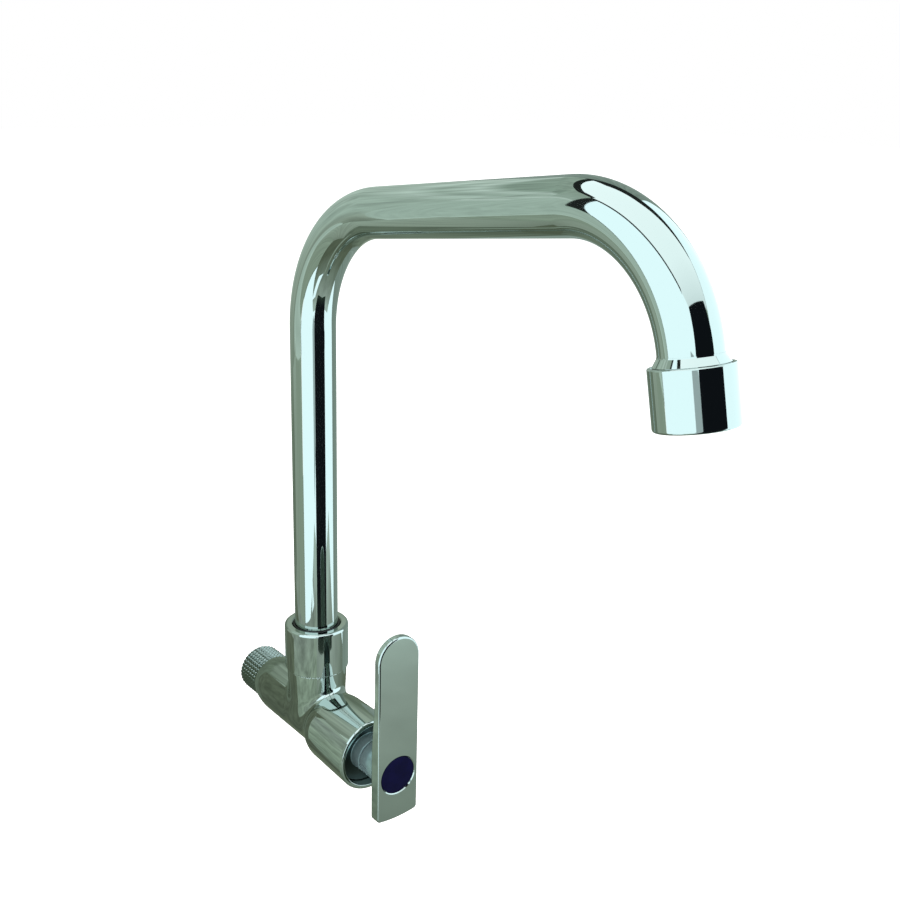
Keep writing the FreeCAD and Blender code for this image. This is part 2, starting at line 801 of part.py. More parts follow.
def make_aerator_insides():
    """The washer, the plastic insert, its distributor, two screens and the stream former."""
    washer_outer = aerator_thread_bore - s.ring_play
    washer_end = washer_start + s.washer_height
    washer = ring_corners(washer_outer - s.washer_width, washer_outer, washer_start, washer_end)
    turned_piece("aerator_washer", "outlet", washer)
    flange_base = insert_start + s.insert_flange_height
    insert = [
        (insert_bore, insert_start),
        (washer_outer, insert_start),
        (washer_outer, flange_base),
        (insert_radius, flange_base),
        (insert_radius, insert_end),
        (insert_bore, insert_end),
    ]
    turned_piece("aerator_insert", "outlet", insert)
    plate_radius = insert_bore - s.joint_gap
    distributor = holed_disc("aerator_distributor", plate_radius, insert_start, s.distributor_height)
    rings = ((plate_radius - s.distributor_rim, s.distributor_hole_count),)
    drill_rings(distributor, s.distributor_hole_diameter / 2, insert_start, rings)
    screen_start = insert_start + s.distributor_height
    for name in ("upper_aerator_screen", "lower_aerator_screen"):
        screen_start = screen_start + s.screen_spacing
        holed_disc(name, plate_radius, screen_start, s.screen_height)
        screen_start = screen_start + s.screen_height
    grille_start = insert_end - s.grille_height
    grille = holed_disc("aerator_grille", plate_radius, grille_start, s.grille_height)
    hole = s.grille_hole_diameter / 2
    outer_circle = plate_radius - s.grille_rim - hole
    drill_rings(grille, hole, grille_start, ((None, 1), (outer_circle / 2, 6), (outer_circle, 12)))


def holed_disc(name, radius, start, height):
    """A flat disc of the aerator, before its holes are drilled."""
    body = new_body(name, "outlet")
    sketch = new_sketch(body, "rim", "XY_Plane", out=start)
    draw_circle(sketch, radius)
    feature(body, "Pad", "disc", sketch, Length=height)
    doc.recompute()
    return body


def drill_rings(body, radius, start, rings):
    """Drills through holes on one or more circles, or at the centre where a circle is None."""
    for number, (circle, count) in enumerate(rings):
        sketch = new_sketch(body, "hole_%d" % number, "XY_Plane", out=start)
        draw_circle(sketch, radius, across=circle if circle is not None else 0)
        hole = feature(body, "Pocket", "drilling_%d" % number, sketch, Type=1, Reversed=True)
        doc.recompute()
        if circle is not None:
            patterned(body, "ring_%d" % number, hole, count)
            doc.recompute()


def make_seat_gasket():
    """The rubber ring that the headwork presses on the seat."""
    corners = ring_corners(seat_bore_radius, disc_radius, seat_distance, fixed_disc_back)
    turned_piece("seat_gasket", "valve", corners)


def cut_ports(body, start, first_angle):
    """Cuts the two sector ports of a ceramic disc, centred on a first angle and on its opposite."""
    half = s.port_half_angle
    sketch = new_sketch(body, "port_outline", "XY_Plane", out=start)
    angles = [Size("(%d %s Sizes.port_half_angle)" % (first_angle, sign), first_angle + way * half.number)
              for sign, way in (("-", -1), ("+", 1))]
    places = [(radius * cosine(angle), radius * sine(angle)) for radius, angle in (
        (port_inner_radius, angles[0]),
        (port_outer_radius, angles[0]),
        (port_outer_radius, angles[1]),
        (port_inner_radius, angles[1]),
    )]
    begin, finish = (math.radians(angle.number) for angle in angles)
    up = FreeCAD.Vector(0, 0, 1)
    inner, outer = (Part.Circle(FreeCAD.Vector(), up, radius.number)
                    for radius in (port_inner_radius, port_outer_radius))
    sketch.addGeometry(Part.LineSegment(point(places[0]), point(places[1])), False)
    sketch.addGeometry(Part.ArcOfCircle(outer, begin, finish), False)
    sketch.addGeometry(Part.LineSegment(point(places[2]), point(places[3])), False)
    sketch.addGeometry(Part.ArcOfCircle(inner, begin, finish), False)
    for a, a_end, b, b_end in ((0, 2, 1, 1), (1, 2, 2, 1), (2, 2, 3, 2), (3, 1, 0, 1)):
        sketch.addConstraint(Sketcher.Constraint("Coincident", a, a_end, b, b_end))
    for arc in (1, 3):
        sketch.addConstraint(Sketcher.Constraint("Coincident", arc, 3, -1, 1))
    for edge, end, place in ((0, 1, places[0]), (0, 2, places[1])):
        dimension(sketch, "DistanceX", edge, end, place[0])
        dimension(sketch, "DistanceY", edge, end, place[1])
    for end, place in ((1, places[2]), (2, places[3])):
        if first_angle == 0:
            dimension(sketch, "DistanceX", 2, end, place[0])
        else:
            dimension(sketch, "DistanceY", 2, end, place[1])
    port = feature(body, "Pocket", "port", sketch, Type=1, Reversed=True)
    doc.recompute()
    patterned(body, "ports", port, 2)
    doc.recompute()


def rectangle(sketch, width, height, across=0, up=0):
    """Draws a rectangle centred on a place of the sketch."""
    half_width, half_height = width / 2, height / 2
    left, right = (-half_width, half_width) if across == 0 else (across - half_width, across + half_width)
    low, high = (-half_height, half_height) if up == 0 else (up - half_height, up + half_height)
    draw_outline(sketch, [(left, low), (right, low), (right, high), (left, high)])


def make_ceramic_discs():
    """The fixed disc, held by two tabs, and the moving disc, slotted for the spindle's key."""
    fixed = new_body("fixed_ceramic_disc", "valve")
    outline = new_sketch(fixed, "rim", "XY_Plane", out=fixed_disc_back)
    draw_circle(outline, disc_radius)
    feature(fixed, "Pad", "disc", outline, Length=s.disc_height)
    doc.recompute()
    tabs = new_sketch(fixed, "tab_outline", "XY_Plane", out=fixed_disc_back)
    rectangle(tabs, s.tab_width, s.disc_diameter + s.tab_height * 2)
    feature(fixed, "Pad", "tabs", tabs, Length=s.disc_height)
    doc.recompute()
    cut_ports(fixed, fixed_disc_back, 0)
    moving = new_body("moving_ceramic_disc", "valve")
    outline = new_sketch(moving, "rim", "XY_Plane", out=moving_disc_back)
    draw_circle(outline, disc_radius)
    feature(moving, "Pad", "disc", outline, Length=s.disc_height)
    doc.recompute()
    cut_ports(moving, moving_disc_back, 90)
    slot = new_sketch(moving, "slot_outline", "XY_Plane", out=moving_disc_front)
    rectangle(slot, s.disc_diameter + s.tab_height * 2, s.key_width + s.seat_gap)
    feature(moving, "Pocket", "slot", slot, Length=s.key_depth)
    doc.recompute()


def make_headwork_housing():
    """The headwork's brass housing: windowed cup, thread, hexagon and the neck that guides the spindle."""
    body = new_body("headwork_housing", "valve")
    cup_bore = disc_radius + s.cup_play
    cup_radius = cup_bore + s.cup_wall
    thread_radius = s.thread_diameter / 2
    corners = [
        (cup_bore, housing_nose),
        (cup_radius, housing_nose),
        (cup_radius, headwork_thread_back + s.seat_gap),
        (thread_radius, headwork_thread_back + s.seat_gap),
        (thread_radius, hexagon_back),
        (thread_radius, bonnet_back),
        (s.stem_neck_diameter / 2, bonnet_back),
        (s.stem_neck_diameter / 2, stem_neck_front),
        (shank_bore_radius, stem_neck_front),
        (shank_bore_radius, cup_floor),
        (cup_bore, cup_floor),
    ]
    turned(body, "Revolution", "turning", corners)
    doc.recompute()
    hexagon = new_sketch(body, "hexagon_outline", "XY_Plane", out=hexagon_back)
    half, corner = s.hexagon_width / 2, s.hexagon_width / root(Size("3", 3.0))
    draw_outline(hexagon, [
        (corner, 0),
        (corner / 2, half),
        (-(corner / 2), half),
        (-corner, 0),
        (-(corner / 2), -half),
        (corner / 2, -half),
    ])
    draw_circle(hexagon, shank_bore_radius)
    feature(body, "Pad", "hexagon", hexagon, Length=s.hexagon_height)
    doc.recompute()
    window = new_sketch(body, "window_outline", "YZ_Plane")
    window_back = moving_disc_back + s.window_margin
    window_front = key_front - s.window_margin
    centre = (window_back + window_front) / 2
    rectangle(window, s.window_width, window_front - window_back, up=centre)
    feature(body, "Pocket", "windows", window, Type=1, Midplane=True)
    doc.recompute()
    notch = new_sketch(body, "notch_outline", "XY_Plane", out=housing_nose)
    rectangle(notch, s.tab_width + s.seat_gap, cup_radius * 2 + s.tab_height)
    depth = fixed_disc_back + s.disc_height - housing_nose
    feature(body, "Pocket", "notches", notch, Length=depth, Reversed=True)
    doc.recompute()


def make_headwork_gasket():
    """The fibre ring under the headwork's hexagon."""
    inner = s.thread_diameter / 2 + s.joint_gap
    corners = ring_corners(inner, inner + s.headwork_gasket_width, headwork_seat, hexagon_back)
    turned_piece("headwork_gasket", "valve", corners)


def make_bonnet():
    """The chromed cover of the headwork: a plate in the barrel's recess and a neck round the spindle."""
    bore = s.stem_neck_diameter / 2 + s.seat_gap
    plate_radius = recess_radius - s.ring_play
    sleeve_radius = s.bonnet_neck_diameter / 2
    lip = s.shank_diameter / 2 + s.bonnet_lip_play
    lip_back = bonnet_front - s.bonnet_lip
    corners = [
        (bore, bonnet_back),
        (plate_radius, bonnet_back),
        (plate_radius, recess_floor),
        (sleeve_radius, recess_floor),
        (sleeve_radius, bonnet_front),
        (lip, bonnet_front),
        (lip, lip_back),
        (bore, lip_back),
    ]
    body = turned_piece("bonnet", "valve", corners)
    round_edges(body, "neck_root", "Fillet", s.bonnet_rounding, is_ring(sleeve_radius, recess_floor))
    round_edges(body, "neck_edge", "Chamfer", s.bonnet_rounding / 2, is_ring(sleeve_radius, bonnet_front))


def make_spindle():
    """The brass spindle: a key for the moving disc, a grooved shank and a splined, tapped head."""
    body = new_body("spindle", "valve")
    key = new_sketch(body, "key_outline", "XY_Plane", out=key_back)
    rectangle(key, (disc_radius - s.key_setback) * 2, s.key_width)
    feature(body, "Pad", "key", key, Length=s.key_height)
    doc.recompute()
    shank = s.shank_diameter / 2
    groove_half = (s.shank_ring_section + s.groove_slack) / 2
    circlip_groove = shank - s.circlip_groove_depth
    corners = [(0, key_front - s.key_depth), (shank, key_front - s.key_depth)]
    for centre in shank_ring_places():
        corners += [
            (shank, centre - groove_half),
            (shank_groove_radius, centre - groove_half),
            (shank_groove_radius, centre + groove_half),
            (shank, centre + groove_half),
        ]
    corners += [
        (shank, circlip_back),
        (circlip_groove, circlip_back),
        (circlip_groove, circlip_front),
        (shank, circlip_front),
        (shank, bonnet_front),
        (spline_radius, bonnet_front),
        (spline_radius, spline_front),
        (0, spline_front),
    ]
    turned(body, "Revolution", "shank", corners)
    doc.recompute()
    hole = new_sketch(body, "tapped_hole_outline", "XY_Plane", out=spline_front)
    draw_circle(hole, s.screw_diameter / 2 + s.joint_gap)
    depth = s.screw_length - s.screw_seat_wall + s.groove_slack
    feature(body, "Pocket", "tapped_hole", hole, Length=depth)
    doc.recompute()
    tooth_gap = new_sketch(body, "spline_outline", "XY_Plane", out=spline_front)
    draw_spline_gap(tooth_gap, spline_radius - s.spline_depth, spline_radius + s.spline_depth)
    cut = feature(body, "Pocket", "spline_gap", tooth_gap, Length=spline_front - bonnet_front)
    doc.recompute()
    patterned(body, "spline", cut, s.spline_count)
    doc.recompute()


def draw_spline_gap(sketch, inner, outer):
    """Draws the V between two spline teeth, narrow at its inner radius and open past its outer radius."""
    pitch = Size("(180 / Sizes.spline_count)", 180 / s.spline_count.number)
    half_width = outer * sine(pitch)
    draw_outline(sketch, [(inner, 0), (outer, -half_width), (outer, half_width)])


def shank_ring_places():
    """Where the spindle's two seal rings sit, the rear one first."""
    rear = cup_floor + s.shank_ring_depth
    return rear, rear + s.shank_ring_spacing


def make_spindle_rings():
    """The spindle's seal rings, its friction washer and the circlip that keeps it in the housing."""
    centre_radius = shank_groove_radius + s.shank_ring_section / 2
    for name, place in zip(("rear_spindle_o_ring", "front_spindle_o_ring"), shank_ring_places()):
        seal_ring(name, "valve", centre_radius, s.shank_ring_section, place)
    inner = s.shank_diameter / 2 + s.joint_gap
    outer = disc_radius - s.cup_play
    washer_front = friction_washer_back + s.friction_washer_height
    turned_piece("friction_washer", "valve", ring_corners(inner, outer, friction_washer_back, washer_front))
    clip_bore = s.shank_diameter / 2 - s.circlip_groove_depth + s.joint_gap
    clip_radius = s.stem_neck_diameter / 2 - s.circlip_setback
    clip_slack = s.joint_gap / 2
    clip = ring_corners(clip_bore, clip_radius, circlip_back + clip_slack, circlip_front - clip_slack)
    turned_piece("spindle_circlip", "valve", clip, angle=s.circlip_angle)


def make_lever_handle():
    """The lever: a flat plate with a round top, thinner towards its tip, and a splined hub behind it.

    Its lower edge is a shallow arc.
    """
    body = new_body("lever_handle", "valve")
    half = lever_half_width
    plate = new_sketch(body, "front_outline", "XY_Plane", out=lever_back)
    shoulder = s.lever_top - half
    corners = [
        (-half, -s.lever_bottom),
        (half, -s.lever_bottom),
        (half, shoulder),
        (0, s.lever_top),
        (-half, shoulder),
    ]
    draw_outline(plate, corners, {0: s.lever_bottom_radius, 2: "start", 3: "end"})
    feature(body, "Pad", "plate", plate, Length=s.lever_thickness)
    doc.recompute()
    wedge = new_sketch(body, "taper_outline", "YZ_Plane")
    tip_back = lever_front - s.lever_tip_thickness
    beyond = s.lever_top + s.lever_rounding
    behind = lever_back - s.lever_rounding
    draw_outline(wedge, [
        (s.lever_taper_start, behind),
        (s.lever_taper_start, lever_back),
        (s.lever_taper_end, tip_back),
        (beyond, tip_back),
        (beyond, behind),
    ])
    feature(body, "Pocket", "taper", wedge, Type=1, Midplane=True)
    round_edges(body, "bottom_corners", "Fillet", s.lever_corner, is_bottom_corner)
    round_edges(body, "plate_edges", "Fillet", s.lever_rounding, is_plate_edge)
    hub = new_sketch(body, "hub_outline", "XY_Plane", out=hub_back)
    draw_circle(hub, s.hub_diameter / 2)
    feature(body, "Pad", "hub", hub, Length=lever_back - hub_back + s.seat_gap)
    round_edges(body, "hub_root", "Fillet", s.hub_rounding, is_ring(s.hub_diameter / 2, lever_back))
    cap_recess_radius = s.cap_diameter / 2 + s.cap_play
    bores = [
        (0, hub_back),
        (spline_radius + s.spline_play, hub_back),
        (spline_radius + s.spline_play, socket_front),
        (s.screw_diameter / 2 + s.screw_play, socket_front),
        (s.screw_diameter / 2 + s.screw_play, screw_seat),
        (s.screw_head_diameter / 2 + s.seat_gap, screw_seat),
        (s.screw_head_diameter / 2 + s.seat_gap, cap_floor),
        (cap_recess_radius, cap_floor),
        (cap_recess_radius, lever_front),
        (0, lever_front),
    ]
    turned(body, "Groove", "bores", bores)
    round_edges(body, "recess_edge", "Chamfer", s.recess_chamfer, is_ring(cap_recess_radius, lever_front))


def is_bottom_corner(edge):
    """A test for the two short edges at the lever's bottom corners."""
    box = edge.BoundBox
    low = abs(box.YMax + number_of(s.lever_bottom)) < 0.01
    return low and box.XLength < 0.01 and box.ZLength > 1


def is_plate_edge(edge):
    """A test for the edges round the lever's front face and round its back faces."""
    box = edge.BoundBox
    on_front = box.ZMin > number_of(lever_front) - 0.01
    across_back = box.XLength > number_of(lever_half_width * 2) - 0.01 and box.YLength < 0.01
    if across_back and box.YMin > 0 and not on_front:
        return False
    along_side = box.ZLength > number_of(s.lever_thickness) - 0.1 and box.YMax < 0
    return not along_side or on_front


def make_handle_screw():
    """The slotted screw that clamps the lever on the spindle."""
    body = new_body("handle_screw", "valve")
    head_front = screw_seat + s.screw_head_height
    corners = [
        (0, screw_seat - s.screw_length),
        (s.screw_diameter / 2, screw_seat - s.screw_length),
        (s.screw_diameter / 2, screw_seat),
        (s.screw_head_diameter / 2, screw_seat),
        (s.screw_head_diameter / 2, head_front),
        (0, head_front),
    ]
    turned(body, "Revolution", "turning", corners)
    doc.recompute()
    slot = new_sketch(body, "slot_outline", "XY_Plane", out=head_front)
    rectangle(slot, s.screw_head_diameter + s.screw_slot_width, s.screw_slot_width)
    feature(body, "Pocket", "slot", slot, Length=s.screw_slot_depth)
    doc.recompute()


def make_indicator_cap():
    """The coloured disc pressed into the lever's front over the screw."""
    radius = s.cap_diameter / 2
    body = turned_piece("indicator_cap", "valve", [
        (0, cap_back),
        (radius, cap_back),
        (radius, lever_front),
        (0, lever_front),
    ])
    round_edges(body, "rim", "Fillet", s.cap_rounding, is_ring(radius, lever_front))


def check_document():
    """Stops the build if any object failed or any piece is not a valid solid."""
    doc.recompute()
    for item in doc.Objects:
        if "Invalid" in item.State or "Error" in item.State:
            raise ValueError("failed object: " + item.Name)
    for piece in PARTS:
        if piece.Shape.isNull() or not piece.Shape.isValid() or piece.Shape.Volume <= 0:
            raise ValueError("bad shape: " + piece.Label)


def export_parts():
    """Writes each piece to its own file."""
    os.makedirs("parts", exist_ok=True)
    for piece in PARTS:
        piece.Shape.exportStep("parts/" + piece.Label + ".step")
        print("%-24s %10.1f mm3  %d solid" % (piece.Label, piece.Shape.Volume, len(piece.Shape.Solids)))


make_tap_body()
make_swivel_nut()
make_nut_glide_ring()
make_spout_tube()
make_spout_ferrule()
make_spout_seal_rings()
make_outlet_collar()
make_aerator_housing()
make_aerator_insides()
make_seat_gasket()
make_ceramic_discs()
make_headwork_housing()
make_headwork_gasket()
make_bonnet()
make_spindle()
make_spindle_rings()
make_lever_handle()
make_handle_screw()
make_indicator_cap()
check_document()
export_parts()
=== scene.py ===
"""Looks of a wall-mounted kitchen tap: a threaded inlet, a swan-neck spout and an upright lever.

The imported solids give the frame, in metres: Z points up, the wall stands at Y = 0 and the tap leaves it
towards -Y. Sizes of the tap are given in millimetres and those of the studio in metres. Every visible piece
is a surface computed on a grid: a profile turned about an axis, a section carried along a path, or a height
solved along rays. Pieces inside the tap keep their solids.
"""

import logging
import math
from abc import ABC, abstractmethod
from dataclasses import dataclass, field
from enum import Enum
from typing import Any, Sequence

import bpy
import numpy as np
from mathutils import Matrix, Vector


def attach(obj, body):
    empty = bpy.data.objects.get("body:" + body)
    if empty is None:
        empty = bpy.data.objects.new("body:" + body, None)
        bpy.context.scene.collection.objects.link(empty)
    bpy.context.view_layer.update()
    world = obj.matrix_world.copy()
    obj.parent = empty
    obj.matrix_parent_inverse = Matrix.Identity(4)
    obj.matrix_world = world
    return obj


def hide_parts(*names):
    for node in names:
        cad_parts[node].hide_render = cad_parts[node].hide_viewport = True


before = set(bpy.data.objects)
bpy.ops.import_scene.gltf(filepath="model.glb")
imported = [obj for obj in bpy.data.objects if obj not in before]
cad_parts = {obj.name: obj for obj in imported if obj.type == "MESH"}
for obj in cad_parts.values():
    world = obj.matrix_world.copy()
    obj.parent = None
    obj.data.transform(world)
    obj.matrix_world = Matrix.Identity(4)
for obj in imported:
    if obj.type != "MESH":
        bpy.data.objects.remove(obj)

log = logging.getLogger("kitchen_tap")

MM = 0.001

Array = np.ndarray
Point = tuple[float, float, float]
Stops = tuple[tuple[float, str], ...]


class Body(Enum):
    """The tap's rigid bodies, by their names in the frame."""

    FIXED = "root"
    SPOUT = "spout"
    LEVER = "lever"


class Slot(Enum):
    """The material slots of the record."""

    PLATED_BRASS = "plated_brass"
    PLATED_STEEL = "plated_steel"
    PLATED_ZINC = "plated_zinc"
    BARE_BRASS = "bare_brass"
    STEEL = "steel"
    RUBBER = "rubber"
    FIBRE = "fibre"
    CERAMIC = "ceramic"
    BLACK_PLASTIC = "black_plastic"
    WHITE_PLASTIC = "white_plastic"
    NAVY_PLASTIC = "navy_plastic"


# Profiles


@dataclass
class Profile:
    """A chain of points in a plane, with the outward normal at both ends of every stretch.

    Attributes:
        points: The chain's points, shape (n, 2).
        leaving: The normal of the stretch that leaves each point, at that point.
        arriving: The normal of the stretch that arrives at each point, at that point.
        closed: Whether the last point is joined to the first.
    """

    points: Array
    leaving: Array
    arriving: Array
    closed: bool


@dataclass(frozen=True)
class Corner:
    """A corner of a profile.

    Attributes:
        x: First coordinate, in millimetres: a radius for a turned piece.
        y: Second coordinate, in millimetres: a distance along the axis.
        rounding: Radius of the fillet on the corner, in millimetres.
        sweep: Angle that the edge to the next corner turns through, in degrees, positive to the left.
    """

    x: float
    y: float
    rounding: float = 0.0
    sweep: float = 0.0


def arc_points(start: Array, end: Array, sweep: float, step: float) -> tuple[Array, Array]:
    """Samples a circular arc between two points.

    The radius is half the chord over the sine of half the sweep, and the centre lies on the chord's
    bisector. Each normal points from the centre to the arc, or back where the arc turns right.

    Args:
        start: First point.
        end: Last point.
        sweep: Angle turned through, in radians, positive to the left.
        step: Largest angle between samples, in radians.

    Returns:
        The points and their normals.
    """
    chord = end - start
    length = math.hypot(chord[0], chord[1])
    left = np.array([-chord[1], chord[0]]) / length
    centre = (start + end) / 2 + left * (length / 2 / math.tan(sweep / 2))
    spoke = start - centre
    count = max(2, math.ceil(abs(sweep) / step)) + 1
    angles = math.atan2(spoke[1], spoke[0]) + np.linspace(0.0, sweep, count)
    rays = np.stack([np.cos(angles), np.sin(angles)], -1)
    return centre + rays * math.hypot(spoke[0], spoke[1]), rays * math.copysign(1.0, sweep)


def profile(corners: Sequence[Corner], closed: bool = True, step: float = 7.5) -> Profile:
    """Builds a chain from corners, with filleted corners and curved edges.

    A fillet of radius r on a corner that turns by the angle a starts and ends r tan(a / 2) from it.

    Args:
        corners: The corners in order, anticlockwise round the material.
        closed: Whether the last corner is joined to the first.
        step: Largest angle between the samples of an arc, in degrees.

    Returns:
        The chain.
    """
    places = np.array([[corner.x, corner.y] for corner in corners], float)
    count = len(corners)
    turns = np.zeros(count)
    entries, exits = places.copy(), places.copy()
    for i, corner in enumerate(corners):
        if corner.rounding > 0:
            arrive = places[i] - places[i - 1]
            leave = places[(i + 1) % count] - places[i]
            turns[i] = math.atan2(arrive[0] * leave[1] - arrive[1] * leave[0], float(arrive @ leave))
            setback = corner.rounding * math.tan(abs(turns[i]) / 2)
            entries[i] -= arrive / math.hypot(*arrive) * setback
            exits[i] += leave / math.hypot(*leave) * setback
    stretches: list[tuple[Array, Array]] = []
    for i, corner in enumerate(corners):
        if corner.rounding > 0:
            stretches.append(arc_points(entries[i], exits[i], turns[i], math.radians(step)))
        if i == count - 1 and not closed:
            break
        ends = np.array([exits[i], entries[(i + 1) % count]])
        if corner.sweep:
            stretches.append(arc_points(ends[0], ends[1], math.radians(corner.sweep), math.radians(step)))
        else:
            edge = ends[1] - ends[0]
            normal = np.array([edge[1], -edge[0]]) / math.hypot(*edge)
            stretches.append((ends, np.array([normal, normal])))
    points = [stretches[0][0][:1]]
    leaving, arriving = [], [stretches[0][1][:1]]
    for places_on, normals in stretches:
        points.append(places_on[1:])
        leaving.append(normals[:-1])
        arriving.append(normals[1:])
    chain = np.concatenate(points)
    out = np.concatenate(leaving + [stretches[-1][1][-1:]])
    into = np.concatenate(arriving)
    if closed:
        into[0] = into[-1]
        chain, out, into = chain[:-1], out[:-1], into[:-1]
    return Profile(chain, out, into, closed)


def resampled(outline: Profile, positions: Array) -> tuple[Array, Array]:
    """Reads a closed chain at given distances along it.

    Args:
        outline: The chain.
        positions: Distances from its first point, in millimetres, shape (n,).

    Returns:
        The points and unit normals there, interpolated within each stretch.
    """
    ends = np.roll(outline.points, -1, 0)
    lengths = np.linalg.norm(ends - outline.points, axis=1)
    starts = np.concatenate([[0.0], np.cumsum(lengths)])
    index = np.clip(np.searchsorted(starts, positions, side="right") - 1, 0, len(lengths) - 1)
    part = ((positions - starts[index]) / lengths[index])[:, None]
    places = outline.points[index] * (1 - part) + ends[index] * part
    normals = outline.leaving[index] * (1 - part) + np.roll(outline.arriving, -1, 0)[index] * part
    return places, normals / np.linalg.norm(normals, axis=1, keepdims=True)


def perimeter(outline: Profile) -> float:
    """The length of a closed chain: the sum of the distances between neighbouring points."""
    return float(np.linalg.norm(np.roll(outline.points, -1, 0) - outline.points, axis=1).sum())


# Surfaces


@dataclass
class Surface:
    """Rows of points, each row closed on itself, with exact normals on both sides of each row.

    Attributes:
        points: The rows, in millimetres, shape (rows, columns, 3).
        leaving: Normals of the strip that leaves each row, same shape.
        arriving: Normals of the strip that arrives at each row, same shape.
        closed: Whether the last row is joined to the first; otherwise both end rows are capped flat.
    """

    points: Array
    leaving: Array
    arriving: Array
    closed: bool

    def faces(self) -> tuple[Array, Array, Array]:
        """Vertex numbers, loop starts and corner normals of the surface's faces.

        Returns:
            The vertex number at each face corner, the first corner of each face, and the normal at each
            face corner.
        """
        rows, columns = self.points.shape[:2]
        strips = rows if self.closed else rows - 1
        row = np.repeat(np.arange(strips), columns)
        column = np.tile(np.arange(columns), strips)
        next_row, next_column = (row + 1) % rows, (column + 1) % columns
        here = [(row, column), (row, next_column), (next_row, next_column), (next_row, column)]
        corners = np.stack([i * columns + j for i, j in here], -1).reshape(-1)
        sides = [self.leaving, self.leaving, self.arriving, self.arriving]
        normals = np.stack([side[i, j] for side, (i, j) in zip(sides, here)], 1).reshape(-1, 3)
        starts = np.arange(strips * columns) * 4
        if not self.closed:
            caps = [np.arange(columns)[::-1], (rows - 1) * columns + np.arange(columns)]
            flats = [-ring_normal(self.points[0]), ring_normal(self.points[-1])]
            starts = np.concatenate([starts, len(corners) + np.arange(2) * columns])
            corners = np.concatenate([corners, *caps])
            normals = np.concatenate([normals, *[np.repeat(flat[None], columns, 0) for flat in flats]])
        return corners, starts, normals


def ring_normal(ring: Array) -> Array:
    """The unit normal of a flat ring of points: the sum of the cross products of its neighbours."""
    normal = np.cross(ring, np.roll(ring, -1, 0)).sum(0)
    return normal / np.linalg.norm(normal)


@dataclass(frozen=True)
class Axis:
    """A straight axis that profiles are turned about.

    Attributes:
        origin: A point on it, in millimetres.
        along: Unit direction in which distances are counted.
        side: Unit direction of the first column of a turned surface.
    """

    origin: Point
    along: Point
    side: Point

    def spokes(self, angles: Array) -> Array:
        """Unit directions square to the axis: side cos v + (along x side) sin v.

        Args:
            angles: The angles v from the side direction, in radians, of any shape.

        Returns:
            The directions, with one more dimension of three.
        """
        side = np.array(self.side, float)
        third = np.cross(np.array(self.along, float), side)
        return np.cos(angles)[..., None] * side + np.sin(angles)[..., None] * third

    def turned(self, outline: Profile, angles: Array) -> Surface:
        """Turns a profile about the axis.

        A point (r, h) at the angle v becomes origin + h along + r spoke(v), and normals turn with it.

        Args:
            outline: The profile, with radii first and distances along the axis second.
            angles: The angles of the columns, in radians, rising.

        Returns:
            The turned surface.
        """
        spokes = self.spokes(angles)[None]
        along = np.array(self.along, float)

        def carried(pairs: Array) -> Array:
            """Carries (radius, distance) pairs round the axis."""
            return pairs[:, 0, None, None] * spokes + pairs[:, 1, None, None] * along

        points = carried(outline.points) + np.array(self.origin, float)
        return Surface(points, carried(outline.leaving), carried(outline.arriving), outline.closed)


def full_turn(columns: int) -> Array:
    """Evenly spaced angles of a full turn, in radians, without the repeated last one."""
    return np.linspace(0.0, 2 * math.pi, columns, endpoint=False)


def unit(vectors: Array) -> Array:
    """Vectors scaled to length one."""
    return vectors / np.linalg.norm(vectors, axis=-1, keepdims=True)


def stacked(parts: Sequence[Surface], closed: bool) -> Surface:
    """Joins surfaces with equal columns where the last row of each is the first row of the next.

    Args:
        parts: The surfaces in order.
        closed: Whether the last part's last row is the first part's first row.

    Returns:
        One surface.
    """
    points = [part.points[:-1] for part in parts]
    leaving = [part.leaving[:-1] for part in parts]
    arriving = [parts[0].arriving[:1]] + [part.arriving[1:] for part in parts]
    into = np.concatenate(arriving)
    if closed:
        into[0] = into[-1]
        into = into[:-1]
    else:
        points.append(parts[-1].points[-1:])
        leaving.append(parts[-1].leaving[-1:])
    return Surface(np.concatenate(points), np.concatenate(leaving), into, closed)


def smooth_surface(points: Array) -> Surface:
    """A surface whose normals are the cross product of its grid's two gradients.

    Args:
        points: The rows, in millimetres, shape (rows, columns, 3).

    Returns:
        The open surface.
    """
    across = np.roll(points, -1, 1) - np.roll(points, 1, 1)
    down = np.gradient(points, axis=0)
    normals = unit(np.cross(across, down))
    return Surface(points, normals, normals, False)


@dataclass(frozen=True)
class Dress:
    """What a piece rides on, what it is finished in and which solids it stands for.

    Attributes:
        body: The body that it rides on.
        slot: The slot of the record that its finish stands for; not used.
        material: Its finish.
        stands_for: Nodes of the solids that it replaces.
    """

    body: Body
    slot: Slot
    material: bpy.types.Material
    stands_for: tuple[str, ...] = ()


